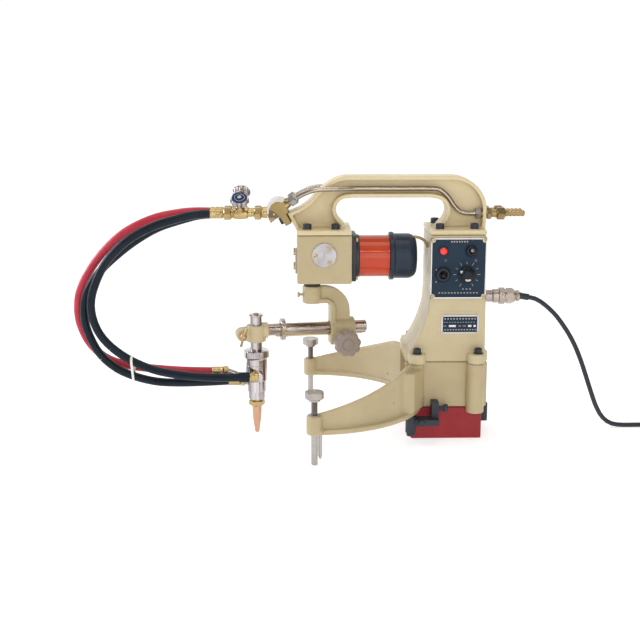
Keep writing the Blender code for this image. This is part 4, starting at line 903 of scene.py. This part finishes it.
def make_lever_details():
    place = at(-94.5, 0, BAR_Z - 4, UP, 0, ARM)
    pin = moved(lathe([(5.0, -13.2), (5.0, -9.3), (3.0, -9.0), (3.0, 10.5), (4.2, 10.8), (4.6, 11.6), (4.3, 12.8),
        (3.4, 13.6), (0, 13.8)], 32), axis=FRONT)
    rod_route = smooth_route([(5.2, -14.4, 10.5), (3.6, -14.6, 7.0), (1.2, -14.8, 2.5), (-0.6, -15.2, -2.0),
        (-1.8, -15.8, -7), (-3.6, -16.4, -13.5)], 1.6)
    grip = tube(rod_route, 1.7, 16)
    piece("clamp_handle", merge(pin, grip), BRASS, place, "lever", node="clamp_lever")
    ball = lathe([(0, 9.8), (2.4, 10.3), (3.9, 11.6), (4.3, 13.4), (3.9, 15.2), (2.6, 16.7), (1.2, 17.3), (0, 17.4)],
        32)
    piece("clamp_boss_cap", moved(ball, by=(0.6, 0, -0.6), axis=FRONT), COPPER, place, "lever")


# ---------------- feet and release jack
def thread(radius, low, high, pitch, depth):
    """A threaded rod's outline: a ridge at every pitch."""
    points = []
    z = low
    while z + pitch <= high:
        points += [(radius - depth, z), (radius, z + pitch * 0.35), (radius, z + pitch * 0.55),
            (radius - depth, z + pitch * 0.9)]
        z += pitch
    return points


def make_feet():
    knob = [(8.2, 93.7), (8.5, 94.0), (11.0, 94.0), (11.6, 93.4), (11.6, 86.2), (11.0, 85.5), (7.4, 85.2),
        (7.2, 84.8), (7.2, 82.4), (6.8, 82.0)]
    rod_low = [(3.2, 0), (4.0, 0.8), (4.0, 39)]
    for name, body, side in (("near_foot_screw", "near_foot", -1), ("far_foot_screw", "far_foot", 1)):
        place = at(AXIS_X, side * FOOT_Y, 0)
        top = lathe(knob + [(4.0, 82.0)], 96, knurl(44, 0.6, 86.5, 93.1, 11.5))
        middle = lathe([(0, 38)] + thread(4.0, 38, 84.2, 1.5, 0.55) + [(0, 84.2)], 28)
        low = lathe(rod_low, 32)
        piece(name + "_knob", merge(top, low), BRIGHT_STEEL, place, body, node=name)
        piece(name + "_thread", middle, DARK_STEEL, place, body)
        bush = washer(7.2, 4.3, 64.0, 64.7)
        piece(name.split("_")[0] + "_foot_bush", bush, STEEL, place)
    pin = [(2.4, 39.3), (2.4, 12.0), (1.6, 9.0), (0.3, 7.0)]
    piece("guide_pin", lathe(pin, 24), BRIGHT_STEEL, at(AXIS_X + 7.2, -FOOT_Y + 0.5, 0), node="locating_pin")


def make_jack_details():
    grip = lathe([(3.0, 9), (3.2, 9.4), (4.6, 9.7), (5.0, 10.4), (5.0, 14.6), (4.6, 15.2), (0, 15.3)], 32,
        knurl(20, 0.5, 9.8, 15.0, 4.8))
    piece("jack_thumb_knob", grip, BLACK_STEEL, at(-15, -52, 45, RIGHT))
    foot = merge(lathe([(4.6, 12), (5.4, 12.7), (5.6, 13.4), (5.6, 15.8), (5.2, 16.5)], 32),
        lathe([(0, 16.4)] + thread(3.5, 16.4, 37.4, 1.5, 0.5) + [(0, 37.4)], 24))
    piece("jack_screw", foot, BLACK_STEEL, at(-49.3, -66, 0), "jack", node="release_screw")
    lock = lathe([(4.2, 0), (4.6, 0.6), (4.6, 3.4), (4.0, 4.0)], 28)
    piece("jack_lock_screw", lock, BLACK_STEEL, at(-36, -70.6, 30, FRONT))


# ---------------- gas fittings
def crimped(angle, r, z):
    """A hose ferrule pressed in by six dies."""
    if r < 6 or not -305.5 < z < -294.5:
        return r
    along = math.sin(math.pi * (z + 305.5) / 11)
    return r - 1.0 * max(0.0, math.cos(6 * angle)) * along


def make_valve_details(which, side, disc_mat):
    place = at(0, side * VALVE_Y, VALVE_Z, RIGHT, 90)
    stem = [(6.0, -234), (6.3, -234.6), (6.3, -238.4), (6.0, -238.8), (6.0, -240.6), (5.2, -241), (4.7, -241.4),
        (4.7, -251.6), (4.2, -252), (4.2, -254), (4.7, -254.3), (4.7, -258.6), (5.5, -259), (5.5, -291.6)]
    ferrule = [(5.9, -291.9), (6.4, -292.3), (6.6, -293.0), (6.4, -293.7), (6.2, -294.2)]
    ferrule += [(6.2, -295.2 - i) for i in range(0, 10)]
    ferrule += [(6.2, -305.8), (6.4, -306.3), (6.6, -307.0), (6.4, -307.7), (6.0, -308.0)]
    parts = [lathe(stem, 40), nut(15, -251.0, -241.8), nut(15, -290.6, -280.4), lathe(ferrule, 72, crimped),
        lathe([(6.3, -280.6), (6.3, -279.2)], 36)]
    belly = [(5.9, -278.4), (6.9, -277.2), (7.1, -274.8), (7.6, -272), (7.6, -266), (7.1, -263), (6.9, -260.6),
        (5.9, -259.2)]
    parts.append(lathe(belly, 48, hexed(14.0)))
    piece(which + "_valve_casting", merge(*parts), BRASS, place, node=which + "_valve_body")
    tilt = math.radians(VALVE_TILT)
    axis = (0, side * math.sin(tilt), math.cos(tilt))
    stem_place = at(VALVE_X, side * VALVE_Y, VALVE_Z, axis)
    opened = stem_place @ Matrix.Translation((0, 0, (0 if side < 0 else 5.5) * MM))
    gland = merge(lathe([(6.0, 2), (6.0, 6.6), (5.4, 7.4)], 36), nut(10.5, 7.4, 13.6),
        lathe([(4.2, 13.4), (4.2, 16.2), (2.6, 16.6), (2.6, 18.6)], 28))
    piece(which + "_valve_gland", gland, BRASS, stem_place)
    spindle = lathe([(2.5, 14), (2.5, 20.5)], 24)
    piece(which + "_valve_spindle", spindle, BRASS, opened, which + "_wheel")
    wheel = [(5.2, 19.4), (5.8, 18.9), (8.4, 18.6), (10.6, 19.0), (11.9, 20.2), (12.2, 21.6), (12.2, 25.4),
        (11.8, 26.9), (11.1, 27.8), (10.4, 28.1)]
    piece(which + "_wheel_rim", lathe(wheel, 112, lobes(8, 2.6, 12.2)), WHEEL_CHROME, opened, which + "_wheel",
        node=which + "_valve_wheel")
    disc = [(9.9, 27.8), (9.9, 28.4), (9.6, 28.6)]
    piece(which + "_wheel_disc", lathe(disc, 48), disc_mat, opened, which + "_wheel")
    screw(which + "_wheel_screw", opened @ Matrix.Translation((0, 0, 28.5 * MM)), 2.5, 1.4, PALE_BRASS,
        which + "_wheel")
    ring_mark = lathe([(6.1, 28.55), (6.5, 28.55), (6.5, 28.72), (6.1, 28.72), (6.1, 28.55)], 48)
    piece(which + "_wheel_mark", ring_mark, PALE_BRASS, opened, which + "_wheel")


def make_pipe_details(which, side, mat):
    start = Vector((-206.8, side * 14.5, 309.4))
    slope = Vector((0.82, side * 0.12, 0.56)).normalized()
    fit_y, fit_z = PIPE_END_Y, PIPE_END_Z
    points = [tuple(start + slope * 6), tuple(start + slope * 14), (-186, side * 18, 322.2),
        (-175, side * 19.3, 326.3), (-163, side * 19.5, 327.9), (-148, side * 18.5, 328), (-132, side * 14, 328),
        (-115, side * 10, 328), (-60, side * fit_y, 327.8), (-20, side * fit_y, 327.6), (-9, side * fit_y, 325),
        (0.5, side * fit_y, 316.5), (8, side * fit_y, 305.8), (16, side * fit_y, 298), (26, side * fit_y, 295.4),
        (38, side * fit_y, fit_z)]
    piece(which + "_pipe_tube", tube(smooth_route(points, 3), 3.0, 24), PIPE_STEEL, node=which + "_gas_pipe")
    union = merge(nut(13, 2.4, 12.0), lathe([(4.9, 11.8), (4.4, 13.6), (3.1, 14.0)], 32))
    place = Matrix.Translation(start * MM) @ facing(slope) @ Matrix.Rotation(math.radians(20), 4, "Z")
    piece(which + "_pipe_union", union, mat, place, slot="steel")
    tail = lathe([(5.2, -6), (5.2, 0.2), (4.0, 0.6), (4.0, 2.6)], 32)
    piece(which + "_pipe_tail", tail, BRASS, place)
    piece(which + "_pipe_end_nut", nut(13.2, 35.6, 43.0), STEEL, at(0, side * fit_y, fit_z, RIGHT, 30))
    barb = [(5.2, 43.3), (5.2, 49.8), (6.6, 50.2), (6.6, 56.6), (5.1, 57.2), (5.1, 62.8), (5.6, 63.3), (5.6, 74.2),
        (4.4, 74.8), (4.3, 78.0)]
    for x in (78.2, 83.4, 88.6, 93.8):
        barb += [(3.3, x), (4.3, x + 4.2), (4.2, x + 4.8)]
    barb += [(3.3, 99.4), (2.9, 100.0), (1.9, 100.0), (1.9, 90)]
    fitting = merge(lathe(barb, 36), nut(14.4, 50.4, 56.4), nut(15.4, 63.6, 74.0))
    piece(which + "_hose_tail", fitting, DARK_BRASS, at(0, side * fit_y, fit_z, RIGHT, 30),
        node=which + "_inlet_fitting")


def make_manifold_details():
    face = [(-202.8, 284.4), (-209.0, 295.4), (-206.6, 299.0), (-207.8, 304.6), (-211.0, 309.8), (-213.0, 312.4),
        (-218.4, 313.6), (-223.8, 312.9), (-230.2, 308.9), (-232.6, 304.3), (-233.4, 298.0), (-232.8, 291.0),
        (-229.4, 284.6), (-223.7, 289.3), (-219.0, 292.4), (-217.0, 290.8), (-213.5, 285.6), (-209.9, 280.6)]
    block = put(slab(face, -19, 19, 0.7), UPRIGHT)
    piece("manifold_casting", block, CAST_BRASS, node="manifold_block")
    # A thin dark brown sheet on each face is painted shadow over the manifold's recessed facet round the plug.
    shadow_outline = [(-222.1, 297.1), (-228.1, 300.9), (-232.6, 301.2), (-233.2, 298.0), (-232.7, 291.8), (-221.0, 290.9),
        (-218.6, 292.0)]
    for n, low in enumerate((-19.15, 18.85)):
        piece(f"manifold_painted_shadow_{n + 1}", put(slab(shadow_outline, low, low + 0.3), UPRIGHT), PAINTED_SHADOW_BROWN)
    # A near-white band, a little proud round the top left of the manifold, is a painted highlight on the top's
    # rounded surface.
    highlight_outline = [(-232.0, 296), (-231.6, 302.6), (-228.6, 307.8), (-223.8, 311.6), (-218.6, 312.2), (-214.4, 310.8),
        (-212.0, 313.4), (-218.3, 315.4), (-224.6, 314.8), (-230.6, 311.0), (-234.3, 304.0), (-234.5, 296)]
    piece("manifold_painted_highlight", put(slab(highlight_outline, -19.4, 19.4, 0.5), UPRIGHT), PAINTED_HIGHLIGHT_CAST)
    for side in (-1, 1):
        plug = lathe([(1.5, 18.6), (1.5, 19.5), (1.1, 19.7)], 28)
        which = "near" if side < 0 else "far"
        piece("manifold_plug_" + which, plug, BRASS, at(-225.5, 0, 296.0, (0, side, 0)))
        piece("manifold_bolt_" + which, socket_head(2.3, 9.0, 1.6), BLACK_STEEL,
            at(-217.8, side * 12, 290.6, (0.45, 0, -0.89)))
    outlet = lathe([(5.4, 19.2), (5.4, 21), (4.6, 21.4), (4.6, 34.6), (0, 35.4)], 32)
    elbow = moved(lathe([(5.0, 1), (5.0, 10), (4.4, 11), (4.4, 68), (5.0, 68.5), (5.0, 84.2)], 32), by=(-0.1, 30, 0),
        axis=(-1, 0, -0.07))
    piece("outlet_elbow", merge(moved(outlet, axis=BACK), elbow), BRASS, at(-224, 0, 296), node="third_outlet")


def make_hose_tie():
    def low_spot(route):
        return min((p for p in route if p.z <= 150), key=lambda p: abs(p.x - TIE_X))

    near, far = low_spot(ROUTES["upper"]), low_spot(ROUTES["lower"])
    centre, span = (near + far) / 2, far - near
    across = span.normalized()
    along = Vector((1, 0.05, -0.28)).normalized()
    up = along.cross(across).normalized()
    reach, radius = span.length / 2, HOSE_D / MM / 2
    bm = bmesh.new()
    rings = []
    count = 40
    for i in range(count):
        angle = 2 * math.pi * i / count
        offset = reach * (0 if abs(math.cos(angle)) < 1e-6 else math.copysign(1, math.cos(angle)))
        spot = centre + across * (offset + (radius + 0.1) * math.cos(angle)) + up * (radius + 0.1) * math.sin(angle)
        out = (across * math.cos(angle) + up * math.sin(angle)).normalized()
        rings.append([bm.verts.new(spot + out * o + along * w) for o, w in ((0, -1.6), (0.9, -1.6), (0.9, 1.6),
            (0, 1.6))])
    skin(bm, rings + rings[:1], lids=False)
    tie = piece("hose_tie", bm, WHITE_NYLON, body=None, sharp=50)
    follow_hose(tie)
    top = centre + up * (radius + 2.2) + across * 2
    lock = moved(slab(box_outline(5.4, 4.2, 0.8), -1.6, 1.8, 0.4), by=tuple(top), axis=tuple(up))
    follow_hose(piece("hose_tie_lock", lock, WHITE_NYLON, body=None))


def follow_hose(obj):
    """Bake a small piece's place into its mesh; it rides on no body and does not move with the hose."""
    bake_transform(obj)


# ---------------- controls
def on_panel(x, z):
    return at(x, PANEL_Y, z, FRONT)


def printed(name, marks, y, mat=WHITE_MARK):
    """Marks, given as (x, z, width, height, turn), standing very slightly off the face they are printed on."""
    whole = bmesh.new()
    for x, z, width, height, turn in marks:
        place = Matrix.Translation((x, y, z)) @ Matrix.Rotation(math.radians(turn), 4, "Y") @ UPRIGHT
        merge(whole, put(slab(box_outline(width, height), 0, 0.12), place))
    return piece(name, whole, mat, slot=None)


def make_panel_details():
    front = PANEL_Y
    x0, x1, z0, z1 = -25.0, 46.6, 189.8, 268.0
    strips = bmesh.new()
    width = 1.5
    for (cx, cz, w, h) in (((x0 + x1) / 2, z1 - width / 2, x1 - x0, width),
            ((x0 + x1) / 2, z0 + width / 2, x1 - x0, width), (x0 + width / 2, (z0 + z1) / 2, width, z1 - z0),
            (x1 - width / 2, (z0 + z1) / 2, width, z1 - z0)):
        merge(strips, moved(slab(box_outline(w, h), 0, 0.5, 0.1), by=(cx, front, cz), axis=FRONT))
    for cx in (x0 + 2.8, x1 - 2.8):
        for cz in (z0 + 2.8, z1 - 2.8):
            merge(strips, moved(slab(ring_points(2.9, 24), 0, 0.5, 0.1), by=(cx, front, cz), axis=FRONT))
    piece("panel_frame", strips, BRIGHT_TRIM)
    margin = merge(moved(slab(box_outline(2.2, z1 - z0), -1.9, 0), by=(x0 + 1.1, front, (z0 + z1) / 2), axis=FRONT),
        moved(slab(box_outline(x1 - x0, 3.4), -1.9, 0), by=((x0 + x1) / 2, front, z0 + 1.7), axis=FRONT))
    piece("panel_margin", margin, PANEL_BLACK)
    for n, (cx, cz) in enumerate(((x0 + 2.6, z1 - 2.6), (x1 - 2.6, z1 - 2.6), (x0 + 2.6, z0 + 2.6),
            (x1 - 2.6, z0 + 2.6))):
        screw(f"panel_screw_{n + 1}", at(cx, front - 0.45, cz, FRONT, 30 + 40 * n), 2.4, 1.5, PALE_BRASS)
    marks = []
    for tick in range(11):
        angle = math.radians(240 - 30 * tick)
        long = tick % 2 == 0
        reach = 15.4 if long else 15.0
        marks.append((KNOB[0] + reach * math.cos(angle), KNOB[1] + reach * math.sin(angle), 4.0 if long else 3.0, 0.6,
            -math.degrees(angle)))
    for x, z in ((-17.7, 227.3), (-17.7, 219.5), (-17.7, 211.4)):
        marks.append((x, z, 1.3, 1.5, 0))
    for offset in (-4.6, 0.0, 4.6):
        marks.append((KNOB[0] + 0.2 + offset, 202.0, 1.7, 1.5, 0))
    for n in range(7):
        marks.append((1.4 + n * 3.3, 263.4, 1.7, 2.0, 0))
    for n in range(13):
        marks.append((-13.4 + n * 4.05, 197.0, 2.0, 1.3, 0))
    for x, z in ((-6.0, 239.0), (32.8, 239.0)):
        marks += [(x - 1.2, z, 0.3, 1.8, 0), (x + 1.2, z, 0.3, 1.8, 0), (x, z + 1.2, 1.8, 0.3, 0),
            (x, z - 1.2, 1.8, 0.3, 0)]
    printed("panel_marks", marks, front)


def make_controls():
    bezel = lathe([(4.7, 0.3), (5.6, 0.3), (5.8, 0.8), (5.7, 2.0), (5.4, 2.5), (4.9, 2.5), (4.7, 2.0), (4.7, 0.3)],
        48)
    piece("lamp_bezel", bezel, BLACK_STEEL, on_panel(*LAMP))
    lens = lathe([(4.6, -12), (4.6, 2.0), (4.4, 3.0), (3.6, 4.0), (2.0, 4.7), (0, 4.9)], 48)
    piece("lamp_lens", lens, LENS, on_panel(*LAMP), node="indicator_lamp")
    for name, (x, z), rim in (("power_switch", TOGGLE, 7.4), ("direction_switch", DIRECTION, 9.8)):
        boot = [(0, -5), (4.7, -4), (4.9, 3.2), (5.2, 3.8), (rim - 1.8, 3.8), (rim - 1.0, 3.6), (rim - 0.4, 3.0),
            (rim - 0.2, 2.2), (rim, 1.2), (rim, 0.3), (5.9, 0.3), (5.9, -16)]
        piece(name + "_boot", lathe(boot, 64), BLACK_PLASTIC, on_panel(x, z), node=name)
        groove = washer(rim - 2.6, rim - 3.4, 3.7, 4.1)
        piece(name + "_ring", groove, BLACK_STEEL, on_panel(x, z))
    bat = [(0, 15.3), (1.3, 15.0), (2.2, 14.2), (2.6, 12.9), (2.5, 11.2), (2.1, 8.5), (1.6, 4.0), (1.6, 0)]
    for name, body, (x, z), tilt, mat in (("power_lever", "power", TOGGLE, 8, CHROME),
            ("direction_lever", "direction", DIRECTION, 0, BLACK_PLASTIC)):
        lean = math.radians(tilt)
        piece(name + "_bat", lathe(bat, 32), mat, at(x, -42.5, z, (0, -math.cos(lean), math.sin(lean))), body,
            node=name)
    skirt = [(9.9, 0.6), (10.6, 0.9), (10.6, 4.0), (9.9, 4.7), (8.3, 5.2), (7.9, 5.6), (7.8, 11.2), (7.3, 12.0),
        (6.4, 12.3), (6.1, 12.0), (5.4, 11.9)]
    flutes = knurl(28, 0.35, 5.4, 11.5, 7.6)
    dial = merge(lathe(skirt, 112, flutes), lathe([(3.0, -16), (3.0, 1)], 24))
    piece("speed_dial", dial, BLACK_PLASTIC, on_panel(*KNOB), "speed", node="speed_knob")
    rim = lathe([(5.3, 11.7), (6.9, 11.7), (6.7, 12.5), (5.7, 13.2), (5.3, 13.2), (5.3, 11.7)], 48)
    piece("speed_dial_rim", rim, BLACK_PLASTIC, on_panel(*KNOB), "speed")
    cap = lathe([(5.3, 11.8), (5.3, 13.0), (4.9, 13.2), (0, 13.3)], 48)
    piece("speed_dial_cap", cap, BLACK_PLASTIC, on_panel(*KNOB), "speed")
    # A satin metal crescent low on the dial's cap is a painted highlight.
    arc = [math.radians(a) for a in range(235, 306, 10)]
    highlight_crescent = [(6.7 * math.cos(a), 6.7 * math.sin(a)) for a in arc]
    highlight_crescent += [(5.2 * math.cos(a), 5.2 * math.sin(a) + 0.9) for a in reversed(arc)]
    highlight_crescent = slab(highlight_crescent, 12.2, 13.3)
    piece("speed_dial_painted_highlight", highlight_crescent, SATIN_CHROME, on_panel(*KNOB), "speed")
    pointer = slab([(7.0, -2.4), (10.3, -0.7), (10.3, 0.7), (7.0, 2.4)], 4.4, 5.6, 0.15)
    piece("speed_dial_pointer", pointer, BRIGHT_TRIM, on_panel(*KNOB) @ Matrix.Rotation(math.radians(150), 4, "Z"),
        "speed")


def make_name_plate_details():
    x0, x1, z0, z1 = -10.0, 39.0, 143.0, 168.0
    cx, cz, y = (x0 + x1) / 2, (z0 + z1) / 2, NAME_PLATE_Y
    field = moved(slab(box_outline(x1 - x0 - 4.4, z1 - z0 - 4.4, 1.5), 0, 0.15), by=(cx, y, cz), axis=FRONT)
    piece("name_plate_field", field, PANEL_BLACK)
    for n, (sx, sz) in enumerate(((-1, 1), (1, 1), (-1, -1), (1, -1))):
        rivet = lathe([(1.3, 0), (1.2, 0.5), (0.7, 0.85), (0, 0.95)], 20)
        piece(f"name_plate_rivet_{n + 1}", rivet, COPPER, at(cx + sx * 22.3, y, cz + sz * 10.4, FRONT))
    marks = [(-5.0 + n * 3.9, 162.9, 1.9, 1.8, 0) for n in range(11)]
    marks += [(-5.8 + n * 3.5, 158.3, 1.7, 0.8, 0) for n in range(12)]
    marks += [(-5.2, 153.4, 3.6, 0.9, 0), (14.2, 153.4, 3.4, 0.9, 0), (20.2, 153.4, 3.8, 0.9, 0)]
    boxes = [(4.6, 153.4, 9.0, 2.5, 0), (27.2, 153.4, 4.2, 2.5, 0), (33.6, 153.4, 2.8, 2.5, 0)]
    printed("name_plate_boxes", boxes, y - 0.14, BRIGHT_TRIM)
    marks += [(-4.8 + n * 3.6, 148.4, 1.8, 1.5, 0) for n in range(12)]
    printed("name_plate_marks", marks, y - 0.14)


def make_supply_details():
    place = at(0, 0, SOCKET_Z, RIGHT)
    body = lathe([(7.9, 32), (7.9, 48.5), (10.4, 48.6), (10.5, 49.2), (9.7, 51.5), (8.3, 51.8), (8.0, 52.2),
        (8.0, 61.6), (7.7, 62.4)], 64)
    piece("socket_shell", body, NICKEL, place, node="mains_socket")
    piece("socket_gasket", washer(9.4, 8.1, 51.9, 53.6), CABLE_RUBBER, place)
    sleeve = lathe([(9.0, 63.3), (9.2, 63.6), (9.2, 71.0), (9.6, 71.4), (10.8, 71.7), (11.0, 72.3), (11.0, 78.2),
        (10.6, 78.8), (9.5, 79.3), (9.3, 79.9), (9.3, 91.0), (8.8, 92.0), (7.2, 93.0), (6.6, 93.4), (6.6, 94.4),
        (7.6, 95.2), (7.6, 97.8), (6.8, 99.0), (5.0, 99.5)], 96, knurl(26, 0.5, 72.0, 78.4, 10.7))
    piece("connector_shell", sleeve, NICKEL, place, slot="steel", node="cable_connector")
    flats = nut(18.4, 80.6, 90.2, 0.08)
    piece("connector_flats", flats, NICKEL, place, slot="steel")
    grip = moved(lathe([(4.6, -1), (4.6, 2.6), (4.3, 3.0), (4.3, 12.4), (3.8, 13.2)], 32), by=(99, 0, 0),
        axis=(1, 0, -0.16))
    piece("strain_relief_boot", grip, CABLE_RUBBER, at(0, 0, SOCKET_Z))
    screw("connector_screw_1", at(96.5, -7.2, SOCKET_Z + 2.0, (0, -1, 0.3), 30), 1.6, 1.2, BRASS, "base", 0.5)


cap_screws()
make_gearbox_details()
make_motor_details()
make_arm_details()
make_hand_knob()
make_torch_details()
make_lever_details()
make_feet()
make_jack_details()
make_valve_details("near", -1, BLUE_DISC)
make_valve_details("far", 1, RED_DISC)
make_pipe_details("near", -1, STEEL)
make_pipe_details("far", 1, SATIN_CHROME)
make_manifold_details()
make_hose_tie()
make_panel_details()
make_controls()
make_name_plate_details()
make_supply_details()
